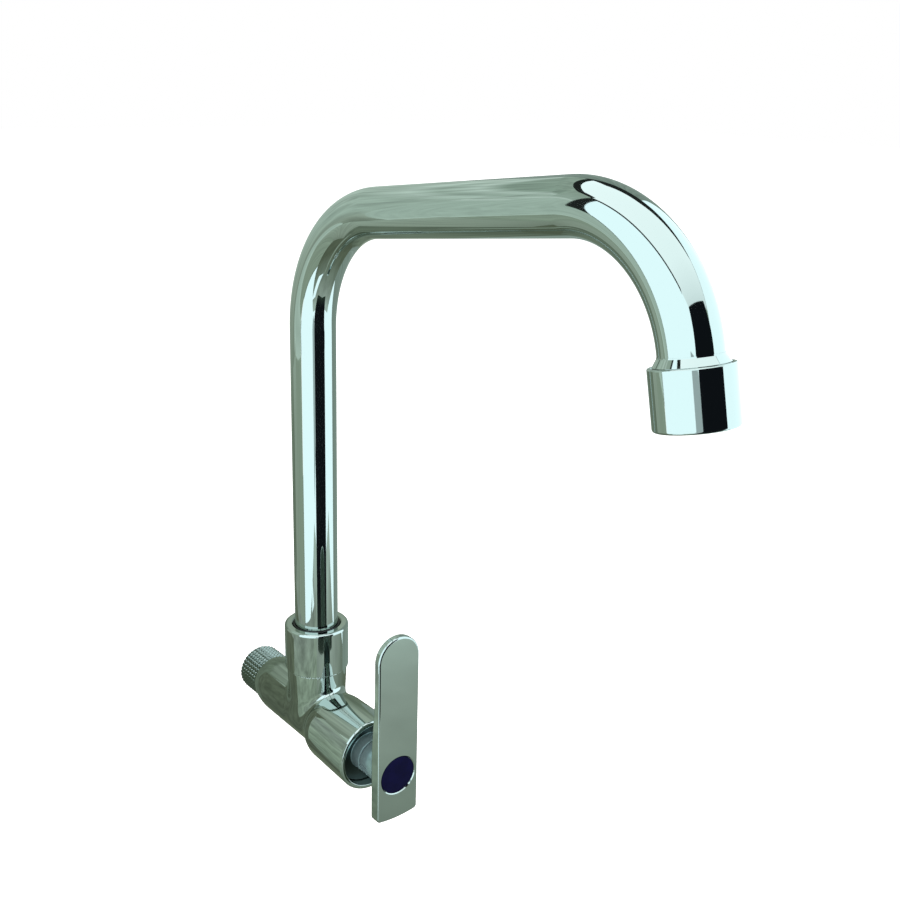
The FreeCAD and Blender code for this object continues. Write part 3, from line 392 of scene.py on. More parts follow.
def add_piece(name: str, surfaces: Sequence[Surface], dress: Dress) -> bpy.types.Object:
    """Makes one piece from one or more closed surfaces.

    Args:
        name: Name of the piece.
        surfaces: Its surfaces, in millimetres.
        dress: Its body, slot, material and solids.

    Returns:
        The new object, at the origin, with its place in its mesh.
    """
    vertices, corners, starts, normals = [], [], [], []
    vertex_count = corner_count = 0
    for surface in surfaces:
        face_corners, face_starts, face_normals = surface.faces()
        vertices.append(surface.points.reshape(-1, 3) * MM)
        corners.append(face_corners + vertex_count)
        starts.append(face_starts + corner_count)
        normals.append(face_normals)
        vertex_count += surface.points.shape[0] * surface.points.shape[1]
        corner_count += len(face_corners)
    mesh = bpy.data.meshes.new(name)
    mesh.vertices.add(vertex_count)
    mesh.vertices.foreach_set("co", np.concatenate(vertices).astype(np.float32).ravel())
    mesh.loops.add(corner_count)
    mesh.loops.foreach_set("vertex_index", np.concatenate(corners).astype(np.int32))
    face_starts = np.concatenate(starts).astype(np.int32)
    mesh.polygons.add(len(face_starts))
    mesh.polygons.foreach_set("loop_start", face_starts)
    mesh.update(calc_edges=True)
    mesh.polygons.foreach_set("use_smooth", np.ones(len(face_starts), bool))
    mesh.normals_split_custom_set(np.concatenate(normals).astype(np.float32))
    mesh.materials.append(dress.material)
    piece = bpy.data.objects.new(name, mesh)
    bpy.context.scene.collection.objects.link(piece)
    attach(piece, dress.body.value)
    if dress.stands_for:
        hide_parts(*dress.stands_for)
    return piece


# Finishes


def linear(colour: str) -> tuple[float, float, float, float]:
    """Turns an sRGB hex colour to linear light.

    Args:
        colour: Six hex digits.

    Returns:
        Red, green, blue and an alpha of one.
    """
    channels = [int(colour[i : i + 2], 16) / 255 for i in (0, 2, 4)]
    light = [c / 12.92 if c <= 0.04045 else ((c + 0.055) / 1.055) ** 2.4 for c in channels]
    return light[0], light[1], light[2], 1.0


def add_node(
    tree: bpy.types.NodeTree,
    kind: str,
    inputs: dict[str | int, Any] | None = None,
    **settings: Any,
) -> bpy.types.Node:
    """Adds a node with its settings and inputs.

    Args:
        tree: The node tree.
        kind: The node's type name without the common prefix.
        inputs: For each socket, by name or number, an output to link or a constant.
        settings: Attributes of the node.

    Returns:
        The node.
    """
    node = tree.nodes.new("ShaderNode" + kind)
    for key, setting in settings.items():
        setattr(node, key, setting)
    for key, given in (inputs or {}).items():
        if isinstance(given, bpy.types.NodeSocket):
            tree.links.new(given, node.inputs[key])
        else:
            node.inputs[key].default_value = given
    return node


def new_material(name: str) -> tuple[bpy.types.Material, bpy.types.NodeTree, bpy.types.NodeSocket]:
    """Starts a material.

    Args:
        name: Its name.

    Returns:
        The material, its empty node tree and the piece's Object coordinates.
    """
    material = bpy.data.materials.new(name)
    material.use_nodes = True
    material.node_tree.nodes.clear()
    coordinates = add_node(material.node_tree, "TexCoord").outputs["Object"]
    return material, material.node_tree, coordinates


def close_material(tree: bpy.types.NodeTree, surface: bpy.types.NodeSocket) -> None:
    """Joins a shader to the material's output."""
    add_node(tree, "OutputMaterial", {"Surface": surface})


def relief(
    tree: bpy.types.NodeTree,
    place: bpy.types.NodeSocket,
    size_mm: float,
    height_mm: float,
    detail: float,
    roughness: float,
) -> bpy.types.NodeSocket:
    """Gives a skin low, irregular hills.

    Args:
        tree: The node tree.
        place: The piece's Object coordinates.
        size_mm: Size of the hills.
        height_mm: Their height.
        detail: Number of finer layers on them.
        roughness: Strength of each finer layer against the one before.

    Returns:
        The normal that the hills bend.
    """
    hills = add_node(
        tree,
        "TexNoise",
        {"Vector": place, "Scale": 1 / (size_mm * MM), "Detail": detail, "Roughness": roughness},
    )
    heights = {"Height": hills.outputs["Fac"], "Strength": 1.0, "Distance": height_mm * MM}
    return add_node(tree, "Bump", heights).outputs["Normal"]


def blended(
    tree: bpy.types.NodeTree, factor: bpy.types.NodeSocket, first: str, second: str
) -> bpy.types.NodeSocket:
    """Blends two colours by a pattern, with most of the change in the middle of its range.

    Args:
        tree: The node tree.
        factor: The pattern, from zero to one.
        first: Colour at zero, in sRGB hex.
        second: Colour at one, in sRGB hex.

    Returns:
        The blended colour.
    """
    ramp = add_node(tree, "ValToRGB", {"Fac": factor})
    for element, place, colour in zip(ramp.color_ramp.elements, (0.35, 0.65), (first, second)):
        element.position = place
        element.color = linear(colour)
    return ramp.outputs["Color"]


@dataclass(frozen=True)
class SatinPlate:
    """Chromium plate that shines softly instead of mirroring: on metal that nobody buffed, and as the colour
    of painted shade and painted reflections.

    Attributes:
        colour: Its colour, in sRGB hex.
        roughness: Its roughness.
        metallic: Less than one where it scatters light as a matt skin does.
    """

    colour: str
    roughness: float
    metallic: float = 1.0

    def over(
        self, tree: bpy.types.NodeTree, surface: bpy.types.NodeSocket, mask: bpy.types.NodeSocket
    ) -> bpy.types.NodeSocket:
        """Lays the plate over another finish.

        Args:
            tree: The node tree.
            surface: The finish below.
            mask: One where the plate shows and zero elsewhere.

        Returns:
            The shader of both.
        """
        satin = add_node(
            tree,
            "BsdfPrincipled",
            {"Base Color": linear(self.colour), "Metallic": self.metallic, "Roughness": self.roughness},
        )
        mixed = add_node(tree, "MixShader", {0: mask, 1: surface, 2: satin.outputs["BSDF"]})
        return mixed.outputs["Shader"]


@dataclass(frozen=True)
class SatinAndPaintedLightZone:
    """A stretch of a piece, round the valve axis, with its own plate: satin where the buffing wheel doesn't
    reach, and painted shade and painted reflections elsewhere.

    Attributes:
        radius_mm: Radius within which it lies.
        front_mm: Its least Y.
        rear_mm: Its greatest Y.
        plate: The plate there.
    """

    radius_mm: float
    front_mm: float
    rear_mm: float
    plate: SatinPlate

    def mask(
        self, tree: bpy.types.NodeTree, radius: bpy.types.NodeSocket, depth: bpy.types.NodeSocket
    ) -> bpy.types.NodeSocket:
        """One inside the zone and zero outside: the product of three comparisons.

        Args:
            tree: The node tree.
            radius: Distance from the valve axis, in metres.
            depth: Y in metres.

        Returns:
            The mask.
        """
        near = add_node(tree, "Math", {0: radius, 1: self.radius_mm * MM}, operation="LESS_THAN")
        behind = add_node(tree, "Math", {0: depth, 1: self.front_mm * MM}, operation="GREATER_THAN")
        ahead = add_node(tree, "Math", {0: depth, 1: self.rear_mm * MM}, operation="LESS_THAN")
        both = add_node(tree, "Math", {0: near.outputs[0], 1: behind.outputs[0]}, operation="MULTIPLY")
        inside = add_node(tree, "Math", {0: both.outputs[0], 1: ahead.outputs[0]}, operation="MULTIPLY")
        return inside.outputs[0]


# Chromium reflects a little more blue and green than red.
CHROME_COLOUR = "BCC6C1"

# A face looks to the wall where the Y of its normal is greater than this.
FACES_WALL = 0.8


@dataclass(frozen=True)
class ChromePlate:
    """Bright chromium plate over nickel, on buffed metal.

    Buffing leaves the base metal faintly wavy, which bends the reflections; the plate itself is a mirror
    with a light haze in patches.

    Attributes:
        name: Name of the material.
        roughness: Roughness of the clean plate.
        haze: Extra roughness in the hazy patches.
        wave_mm: Size of the buffing waves.
        wave_height_mm: Height of the buffing waves.
        zones: Where the plate is satin, and where it paints shade and reflections.
        back: The plate on faces that look to the wall, if nobody buffs them.
        haze_mm: Size of the hazy patches.
    """

    name: str
    roughness: float
    haze: float
    wave_mm: float
    wave_height_mm: float
    zones: tuple[SatinAndPaintedLightZone, ...] = ()
    back: SatinPlate | None = None
    haze_mm: float = 11.0

    def make(self) -> bpy.types.Material:
        """Builds the material.

        Returns:
            The material.
        """
        material, tree, place = new_material(self.name)
        patches = add_node(
            tree,
            "TexNoise",
            {"Vector": place, "Scale": 1 / (self.haze_mm * MM), "Detail": 3.0, "Roughness": 0.6},
        )
        hazy = add_node(
            tree,
            "MapRange",
            {
                "Value": patches.outputs["Fac"],
                "From Min": 0.35,
                "From Max": 0.75,
                "To Min": self.roughness,
                "To Max": self.roughness + self.haze,
            },
        )
        bright = add_node(
            tree,
            "BsdfPrincipled",
            {
                "Base Color": linear(CHROME_COLOUR),
                "Metallic": 1.0,
                "Roughness": hazy.outputs["Result"],
                "Normal": relief(tree, place, self.wave_mm, self.wave_height_mm, 1.0, 0.4),
            },
        )
        surface = bright.outputs["BSDF"]
        split = add_node(tree, "SeparateXYZ", {"Vector": place})
        flat = add_node(tree, "CombineXYZ", {"X": split.outputs["X"], "Y": split.outputs["Z"]})
        radius = add_node(tree, "VectorMath", {0: flat.outputs["Vector"]}, operation="LENGTH")
        for zone in self.zones:
            mask = zone.mask(tree, radius.outputs["Value"], split.outputs["Y"])
            surface = zone.plate.over(tree, surface, mask)
        if self.back is not None:
            normal = add_node(tree, "NewGeometry").outputs["Normal"]
            facing = add_node(tree, "SeparateXYZ", {"Vector": normal}).outputs["Y"]
            behind = add_node(tree, "Math", {0: facing, 1: FACES_WALL}, operation="GREATER_THAN")
            surface = self.back.over(tree, surface, behind.outputs[0])
        close_material(tree, surface)
        return material


# The wave texture repeats 20 / (2 pi) times per unit at a scale of one.
WAVE_TO_SPACING = 2 * math.pi / 20


@dataclass(frozen=True)
class TurnedMetal:
    """Bare metal as it leaves the lathe, with tool marks round its axis and a mottled tone.

    Attributes:
        name: Name of the material.
        light: Colour of the bright cut.
        dark: Colour of the dulled patches.
        roughness: Roughness of the cut surface.
        mark_mm: Spacing of the tool marks, drawn a little coarser than they are so that they show.
        mark_height_mm: Height of the tool marks.
        patch_mm: Size of the dulled patches.
    """

    name: str
    light: str
    dark: str
    roughness: float
    mark_mm: float
    mark_height_mm: float = 0.01
    patch_mm: float = 3.0

    def make(self) -> bpy.types.Material:
        """Builds the material.

        Returns:
            The material.
        """
        material, tree, place = new_material(self.name)
        mottle = add_node(
            tree,
            "TexNoise",
            {"Vector": place, "Scale": 1 / (self.patch_mm * MM), "Detail": 4.0, "Roughness": 0.6},
        )
        marks = add_node(
            tree,
            "TexWave",
            {
                "Vector": place,
                "Scale": WAVE_TO_SPACING / (self.mark_mm * MM),
                "Distortion": 0.6,
                "Detail": 1.0,
            },
            bands_direction="Y",
        )
        bump = add_node(
            tree,
            "Bump",
            {"Height": marks.outputs["Fac"], "Strength": 0.5, "Distance": self.mark_height_mm * MM},
        )
        shader = add_node(
            tree,
            "BsdfPrincipled",
            {
                "Base Color": blended(tree, mottle.outputs["Fac"], self.light, self.dark),
                "Metallic": 1.0,
                "Roughness": self.roughness,
                "Normal": bump.outputs["Normal"],
            },
        )
        close_material(tree, shader.outputs["BSDF"])
        return material


@dataclass(frozen=True)
class MouldedBody:
    """A moulded, pressed or sintered non-metal: two close tones, a fine grain and a soft or glossy skin.

    Attributes:
        name: Name of the material.
        light: Colour of the lighter patches.
        dark: Colour of the darker patches.
        patch_mm: Size of the patches.
        roughness: Roughness of the skin.
        grain_mm: Size of the grain.
        grain_height_mm: Height of the grain.
        ior: Refractive index.
    """

    name: str
    light: str
    dark: str
    patch_mm: float
    roughness: float
    grain_mm: float
    grain_height_mm: float
    ior: float = 1.5

    def make(self) -> bpy.types.Material:
        """Builds the material.

        Returns:
            The material.
        """
        material, tree, place = new_material(self.name)
        patches = add_node(
            tree,
            "TexNoise",
            {"Vector": place, "Scale": 1 / (self.patch_mm * MM), "Detail": 3.0, "Roughness": 0.55},
        )
        shader = add_node(
            tree,
            "BsdfPrincipled",
            {
                "Base Color": blended(tree, patches.outputs["Fac"], self.light, self.dark),
                "Roughness": self.roughness,
                "IOR": self.ior,
                "Normal": relief(tree, place, self.grain_mm, self.grain_height_mm, 2.0, 0.5),
            },
        )
        close_material(tree, shader.outputs["BSDF"])
        return material


# Front recess of the barrel and the cover in it: a dark satin plate that paints the shade in the recess.
RECESS_SHADE_PLATE = SatinPlate("3C4645", 0.30)

BODY_SATIN_AND_SHADE = (
    # The barrel's front recess: painted shade.
    SatinAndPaintedLightZone(13.38, -100.0, -69.0, RECESS_SHADE_PLATE),
    # The inlet thread: unbuffed flanks, which mirror less than the body.
    SatinAndPaintedLightZone(11.0, 0.2, 20.0, SatinPlate("98A49E", 0.08)),
    # The inlet bore: satin as it left the bath.
    SatinAndPaintedLightZone(9.2, -69.0, 20.0, SatinPlate("8C9691", 0.35)),
)
BONNET_SHADE_AND_REFLECTION = (
    # The cover's face in the recess: painted shade.
    SatinAndPaintedLightZone(13.4, -73.2, -70.0, RECESS_SHADE_PLATE),
    # The bonnet's neck behind the lever: a pale grey-blue, partly matt plate that paints the reflections on
    # its chrome, pale and milky against the painted dark recess.
    SatinAndPaintedLightZone(8.0, -100.0, -73.2, SatinPlate("96B2B4", 0.30, 0.7)),
)
# The lever's hub, in line with the bonnet's neck: the same pale plate, a painted reflection.
HUB_PAINTED_REFLECTION = (SatinAndPaintedLightZone(8.8, -89.8, -70.0, SatinPlate("96B2B4", 0.22, 0.7)),)


@dataclass(frozen=True)
class Finishes:
    """Every finish on the tap, made once."""

    cast_chrome: bpy.types.Material
    tube_chrome: bpy.types.Material
    turned_chrome: bpy.types.Material
    lever_chrome: bpy.types.Material
    brass: bpy.types.Material
    steel: bpy.types.Material
    rubber: bpy.types.Material
    fibre: bpy.types.Material
    ceramic: bpy.types.Material
    black_acetal: bpy.types.Material
    white_acetal: bpy.types.Material
    navy_enamel: bpy.types.Material

    @classmethod
    def make(cls) -> "Finishes":
        """Builds all the materials.

        Returns:
            The finishes.
        """
        back = SatinPlate("87948F", 0.3)
        return cls(
            # Plated sand casting: the eye sees reflections that swim a little, most of all here.
            cast_chrome=ChromePlate("chromed_cast_brass", 0.035, 0.03, 14, 0.010, BODY_SATIN_AND_SHADE).make(),
            # Plated drawn tube: close to a true mirror, with long straight reflections.
            tube_chrome=ChromePlate("chromed_drawn_tube", 0.03, 0.02, 30, 0.006).make(),
            # Plated turned brass: true round faces with a thin haze.
            turned_chrome=ChromePlate("chromed_turned_brass", 0.03, 0.03, 18, 0.004, BONNET_SHADE_AND_REFLECTION).make(),
            # Plated zinc die casting: flat faces that buffing leaves slightly pillowed, and a satin back.
            lever_chrome=ChromePlate("chromed_zinc_casting", 0.04, 0.03, 24, 0.010, HUB_PAINTED_REFLECTION, back).make(),
            # Free-cutting brass, turned and left bare: yellow, with tool marks and dull patches.
            brass=TurnedMetal("turned_brass", "D9B25F", "B08A3E", 0.28, 0.3).make(),
            # Austenitic stainless steel, drawn or stamped: grey with a soft shine.
            steel=TurnedMetal("stainless_steel", "C9C8C3", "A3A29E", 0.30, 0.25).make(),
            # Nitrile rubber, moulded and greased: near black with a soft sheen.
            rubber=MouldedBody("nitrile_rubber", "1D1D1D", "121212", 4, 0.42, 0.15, 0.01, 1.52).make(),
            # Vulcanised fibre, punched from sheet: dull red-brown.
            fibre=MouldedBody("vulcanised_fibre", "8A4434", "6E3327", 1.5, 0.75, 0.2, 0.03).make(),
            # Alumina, sintered and lapped: cream, with a fine shine.
            ceramic=MouldedBody("lapped_alumina", "F0EDE2", "E6E1D2", 3, 0.16, 0.1, 0.002, 1.76).make(),
            # Acetal, moulded, with carbon black: deep black with a waxy shine.
            black_acetal=MouldedBody("black_acetal", "131415", "0B0C0D", 5, 0.33, 0.3, 0.004, 1.48).make(),
            # Acetal, moulded, uncoloured: milky white with a waxy shine.
            white_acetal=MouldedBody("white_acetal", "E9E9E4", "DCDDD8", 6, 0.30, 0.3, 0.004, 1.48).make(),
            # Matt enamel on a moulded disc: navy, with almost no shine of its own, hence the low index.
            navy_enamel=MouldedBody("navy_enamel", "06062A", "050523", 5, 0.5, 1.2, 0.002, 1.12).make(),
        )


# Sub-assemblies

# Distance of the spout's axis from the wall.
SPOUT_DISTANCE = 36.0
OUTLET_TILT = math.radians(12.6)
VALVE_AXIS = Axis((0.0, 0.0, 0.0), (0.0, -1.0, 0.0), (0.0, 0.0, 1.0))
SPOUT_AXIS = Axis((0.0, -SPOUT_DISTANCE, 0.0), (0.0, 0.0, 1.0), (1.0, 0.0, 0.0))
# This axis starts where the spout's second bend ends, and leans out from the wall as it goes down.
OUTLET_AXIS = Axis(
    (0.0, -221.21, 197.60), (0.0, -math.sin(OUTLET_TILT), -math.cos(OUTLET_TILT)), (1.0, 0.0, 0.0)
)

# Radius of the flat that closes a turned piece on its axis, out of sight.
CENTRE_FLAT = 0.5
# Roundings of edges that are only broken with a file, and of fine ones.
BROKEN_EDGE = 0.2
FINE_EDGE = 0.15


class SubAssembly(ABC):
    """A part of the tap that builds and dresses its own pieces."""

    @abstractmethod
    def build(self, finishes: Finishes) -> list[bpy.types.Object]:
        """Builds and dresses the pieces.

        Args:
            finishes: The finishes.

        Returns:
            The pieces.
        """


@dataclass
class InletThread:
    """The pipe thread on the body's rear end, with serrated crests that hold the sealing hemp.

    Attributes:
        radius: Crest radius.
        depth: Height of the thread.
        pitch: Distance between crests.
        length: Length of the threaded end.
        chamfer: Width of the lead chamfer.
        run_out: Length over which the thread ends before the body.
        serrations: Number of cuts across each crest.
        serration_depth: Depth of those cuts.
        fullness: Height of the ridge's cosine; past one half, crest and root are clipped flat.
        notch_sharpness: Steepness of the cuts; past one, they are narrower than the lands between.
        rows_per_pitch: Rows of points for each pitch.
    """

    radius: float = 10.4775
    depth: float = 1.0
    pitch: float = 1.814
    length: float = 14.0
    chamfer: float = 1.0
    run_out: float = 0.9
    serrations: int = 36
    serration_depth: float = 0.6
    fullness: float = 0.55
    notch_sharpness: float = 1.3
    rows_per_pitch: int = 11

    def surface(self, angles: Array) -> Surface:
        """The thread's surface, from its free end to the body.

        With w as the distance from the wall and v as the angle, the ridge is a raised cosine of the phase
        w / pitch + v / 2 pi, clipped to the range from zero to one. The serrations lower it by a cosine of
        v, clipped the same way. The ridge fades out over the run-out, and the chamfer's cone cuts off the
        first turn.

        Args:
            angles: The angles of the columns, in radians.

        Returns:
            The open surface.
        """
        count = int(self.length / self.pitch * self.rows_per_pitch)
        distance = np.linspace(-self.length, 0.0, count)[:, None]
        angle = angles[None]
        phase = distance / self.pitch + angle / (2 * math.pi)
        ridge = np.clip(0.5 + self.fullness * np.cos(2 * math.pi * phase), 0.0, 1.0)
        notch = np.clip(1.0 + self.notch_sharpness * (np.cos(self.serrations * angle) - 1.0), 0.0, 1.0)
        faded = np.clip(-distance / self.run_out, 0.0, 1.0)
        height = 1.0 - faded * (1.0 - ridge)
        radius = self.radius - self.depth * (1.0 - height) - self.serration_depth * notch * ridge * faded
        radius = np.minimum(radius, self.radius - self.chamfer + (distance + self.length))
        points = radius[..., None] * VALVE_AXIS.spokes(angles)[None]
        points[..., 1] -= distance
        return smooth_surface(points)


@dataclass
class TapBody(SubAssembly):
    """The cast body: thread, sleeve, spout boss, barrel and the recess that takes the headwork.

    Attributes:
        thread: The inlet thread.
        bore_radius: Radius of the inlet bore.
        bore_rounding: Rounding of the bore's mouth.
        bore_end: Distance from the wall at which the modelled bore ends.
        floor_rounding: Rounding at the ends of bore and recess.
        nose_length: Length of the curve from the thread to the sleeve.
        sleeve_radius: Radius of the sleeve.
        shoulder_start: Where the body begins to widen into the barrel.
        shoulder_length: Length of that widening.
        barrel_back_radius: Radius of the barrel behind.
        barrel_front_radius: Radius of the barrel at its front.
        front: Distance of the front from the wall.
        front_rounding: Rounding of the barrel's front edge.
        recess_radius: Radius of the recess in the front.
        recess_rounding: Rounding of the recess's edge.
        recess_floor: Distance of the recess's bottom from the wall.
        spout_distance: Distance of the spout's axis from the wall.
        boss_base_radius: Radius of the boss at the height of the valve axis.
        boss_top_radius: Radius of the boss at its top.
        boss_height: Height of the boss's top.
        foot_flattening: How flat the ball is that closes the boss below.
        crotch: Width over which boss and body blend.
        tee_reach: Distance from the spout's axis at which the blended stretch ends.
        columns: Points round the body.
        tee_rows: Rows over the blended stretch.
        search: Least and greatest distance at which a ray can meet the blended skin.
        halvings: Steps of the search along each ray.
        probe: Distance over which the field's gradient is taken.
    """

    thread: InletThread = field(default_factory=InletThread)
    bore_radius: float = 6.5
    bore_rounding: float = 0.5
    bore_end: float = 45.0
    floor_rounding: float = 0.3
    nose_length: float = 10.0
    sleeve_radius: float = 12.1
    shoulder_start: float = 40.5
    shoulder_length: float = 12.0
    barrel_back_radius: float = 14.8
    barrel_front_radius: float = 15.4
    front: float = 77.5
    front_rounding: float = 1.2
    recess_radius: float = 13.4
    recess_rounding: float = 0.35
    recess_floor: float = 69.2
    spout_distance: float = SPOUT_DISTANCE
    boss_base_radius: float = 11.6
    boss_top_radius: float = 12.7
    boss_height: float = 23.8
    foot_flattening: float = 1.5
    crotch: float = 3.5
    tee_reach: float = 20.0
    columns: int = 288
    tee_rows: int = 150
    search: tuple[float, float] = (8.0, 50.0)
    halvings: int = 40
    probe: float = 0.02

    def radius_at(self, distance: Array) -> Array:
        """The body's radius at given distances from the wall: two equal arcs join sleeve and barrel.

        Args:
            distance: Distances over the blended stretch, in millimetres.

        Returns:
            The radii.
        """
        half = self.shoulder_length / 2
        rise = self.barrel_back_radius - self.sleeve_radius
        arc = (half**2 + (rise / 2) ** 2) / rise
        from_start = np.clip(distance - self.shoulder_start, 0.0, half)
        to_end = np.clip(self.shoulder_start + self.shoulder_length - distance, 0.0, half)
        lower = self.sleeve_radius + arc - np.sqrt(arc**2 - from_start**2)
        upper = self.barrel_back_radius - arc + np.sqrt(arc**2 - to_end**2)
        barrel_length = self.front - self.shoulder_start - self.shoulder_length
        beyond = np.clip(distance - self.shoulder_start - self.shoulder_length, 0.0, barrel_length)
        slope = (self.barrel_front_radius - self.barrel_back_radius) / barrel_length
        return np.where(distance < self.shoulder_start + half, lower, upper + slope * beyond)

    def field_value(self, points: Array) -> Array:
        """How far points lie outside the blended body and boss, roughly in millimetres.

        The body's value is the distance from its axis less its radius there. The boss is a cone about the
        spout's axis, closed below by a flattened ball and cut off flat at its top. The two are joined by a
        smooth minimum: min(a, b) - h squared / (4 k), with h = max(k - |a - b|, 0).

        Args:
            points: Points in millimetres, shape (..., 3).

        Returns:
            The values, negative inside.
        """
        x, y, z = points[..., 0], points[..., 1], points[..., 2]
        body = np.hypot(x, z) - self.radius_at(-y)
        offset = np.hypot(x, y + self.spout_distance)
        draft = (self.boss_top_radius - self.boss_base_radius) / self.boss_height
        foot = np.sqrt(offset**2 + (self.foot_flattening * np.minimum(z, 0.0)) ** 2)
        cone = foot - self.boss_base_radius - draft * np.maximum(z, 0.0)
        boss = np.maximum(cone, z - self.boss_height)
        overlap = np.maximum(self.crotch - np.abs(body - boss), 0.0)
        return np.minimum(body, boss) - overlap**2 / (4 * self.crotch)

    def tee_surface(self, angles: Array) -> Surface:
        """The stretch where boss and body blend.

        Rays leave the crossing of the two axes at the polar angle p from the wall's side and the angle v
        round the valve axis. The surface is where the field changes sign along each ray, found by halving,
        and its normal is the field's gradient.

        Args:
            angles: The angles v of the columns, in radians.

        Returns:
            The open surface, from the wall's side to the front.
        """
        front_radius = float(self.radius_at(np.array(self.spout_distance + self.tee_reach)))
        first = math.atan2(self.sleeve_radius, self.tee_reach)
        last = math.pi - math.atan2(front_radius, self.tee_reach)
        polar = np.linspace(first, last, self.tee_rows)[:, None, None]
        rays = np.sin(polar) * VALVE_AXIS.spokes(angles)[None]
        rays[..., 1] += np.cos(polar[..., 0])
        centre = np.array([0.0, -self.spout_distance, 0.0])
        near, far = (np.full(rays.shape[:2], reach) for reach in self.search)
        for _ in range(self.halvings):
            middle = (near + far) / 2
            outside = self.field_value(centre + rays * middle[..., None]) > 0
            near, far = np.where(outside, near, middle), np.where(outside, middle, far)
        points = centre + rays * near[..., None]
        shifts = np.eye(3) * self.probe
        gradient = [self.field_value(points + shift) - self.field_value(points - shift) for shift in shifts]
        normals = unit(np.stack(gradient, -1))
        return Surface(points, normals, normals, False)

    def rear_profile(self) -> Profile:
        """The chain from the inlet bore out over the end face to the thread's chamfer.

        Returns:
            The open chain.
        """
        thread = self.thread
        return profile(
            [
                Corner(CENTRE_FLAT, self.bore_end),
                Corner(self.bore_radius, self.bore_end, self.floor_rounding),
                Corner(self.bore_radius, -thread.length, self.bore_rounding),
                Corner(thread.radius - thread.chamfer, -thread.length),
            ],
            closed=False,
        )

    def front_profile(self) -> Profile:
        """The chain from the blended stretch over the barrel's rim into the recess.

        Returns:
            The open chain.
        """
        start = self.spout_distance + self.tee_reach
        return profile(
            [
                Corner(float(self.radius_at(np.array(start))), start),
                Corner(self.barrel_front_radius, self.front, self.front_rounding),
                Corner(self.recess_radius, self.front, self.recess_rounding),
                Corner(self.recess_radius, self.recess_floor, self.floor_rounding),
                Corner(CENTRE_FLAT, self.recess_floor),
            ],
            closed=False,
        )

    def nose_profile(self) -> Profile:
        """The chain from the thread's end over the curved nose along the sleeve.

        Returns:
            The open chain.
        """
        rise = (self.sleeve_radius - self.thread.radius) / self.nose_length
        return profile(
            [
                Corner(self.thread.radius, 0.0, 0.0, math.degrees(2 * math.atan(rise))),
                Corner(self.sleeve_radius, self.nose_length),
                Corner(self.sleeve_radius, self.spout_distance - self.tee_reach),
            ],
            closed=False,
            step=2.0,
        )

    def build(self, finishes: Finishes) -> list[bpy.types.Object]:
        """Builds and dresses the body.

        Args:
            finishes: The finishes.

        Returns:
            The piece.
        """
        angles = full_turn(self.columns)
        skin = stacked(
            [
                VALVE_AXIS.turned(self.rear_profile(), angles),
                self.thread.surface(angles),
                VALVE_AXIS.turned(self.nose_profile(), angles),
                self.tee_surface(angles),
                VALVE_AXIS.turned(self.front_profile(), angles),
            ],
            closed=False,
        )
        dress = Dress(Body.FIXED, Slot.PLATED_BRASS, finishes.cast_chrome, ("tap_body",))
        return [add_piece("tap_body_casting", [skin], dress)]


@dataclass
class SwivelNut(SubAssembly):
    """The round nut that holds the spout down, with the plastic ring that closes its top.

    Attributes:
        axis: The spout's axis.
        radius: Outer radius of the nut.
        bottom: Height of its lower face.
        top: Height of its upper face.
        top_rounding: Rounding of its upper edge.
        bore: Radius of its bore, which screws on the boss's neck.
        bore_rounding: Rounding of the bore's lower edge.
        shoulder: Height at which the bore ends, under the mouth.
        mouth: Radius of its mouth, round the tube.
        mouth_chamfer: Width of the mouth's chamfer.
        ring_bore: Inner radius of the ring.
        ring_foot: Radius of the ring's foot, under the nut's shoulder.
        ring_neck: Radius of the ring in the mouth.
        ring_heights: Heights of the ring's lower face, of its foot's upper face and of its upper edge.
        columns: Points round each piece.
    """

    axis: Axis = SPOUT_AXIS
    radius: float = 13.4
    bottom: float = 23.95
    top: float = 43.5
    top_rounding: float = 1.2
    bore: float = 11.65
    bore_rounding: float = 0.25
    shoulder: float = 39.9
    mouth: float = 9.9
    mouth_chamfer: float = 0.6
    ring_bore: float = 9.15
    ring_foot: float = 11.5
    ring_neck: float = 9.75
    ring_heights: tuple[float, float, float] = (35.85, 39.75, 43.3)
    columns: int = 192

    def nut_profile(self) -> Profile:
        """The nut's section, from its lower inner edge.

        Returns:
            The closed chain.
        """
        return profile(
            [
                Corner(self.bore, self.bottom, self.bore_rounding),
                Corner(self.radius, self.bottom, BROKEN_EDGE),
                Corner(self.radius, self.top, self.top_rounding),
                Corner(self.mouth + self.mouth_chamfer, self.top, FINE_EDGE),
                Corner(self.mouth, self.top - self.mouth_chamfer, FINE_EDGE),
                Corner(self.mouth, self.shoulder),
                Corner(self.bore, self.shoulder),
            ]
        )

    def ring_profile(self) -> Profile:
        """The ring's section, from its lower inner edge.

        Returns:
            The closed chain.
        """
        low, step, high = self.ring_heights
        return profile(
            [
                Corner(self.ring_bore, low),
                Corner(self.ring_foot, low, BROKEN_EDGE),
                Corner(self.ring_foot, step, BROKEN_EDGE),
                Corner(self.ring_neck, step),
                Corner(self.ring_neck, high, BROKEN_EDGE),
                Corner(self.ring_bore, high, FINE_EDGE),
            ]
        )

    def build(self, finishes: Finishes) -> list[bpy.types.Object]:
        """Builds and dresses nut and ring.

        Args:
            finishes: The finishes.

        Returns:
            The pieces.
        """
        angles = full_turn(self.columns)
        chromed = Dress(Body.FIXED, Slot.PLATED_BRASS, finishes.turned_chrome, ("swivel_nut",))
        plastic = Dress(Body.FIXED, Slot.BLACK_PLASTIC, finishes.black_acetal, ("nut_glide_ring",))
        return [
            add_piece("swivel_nut_shell", [self.axis.turned(self.nut_profile(), angles)], chromed),
            add_piece("glide_ring_moulding", [self.axis.turned(self.ring_profile(), angles)], plastic),
        ]


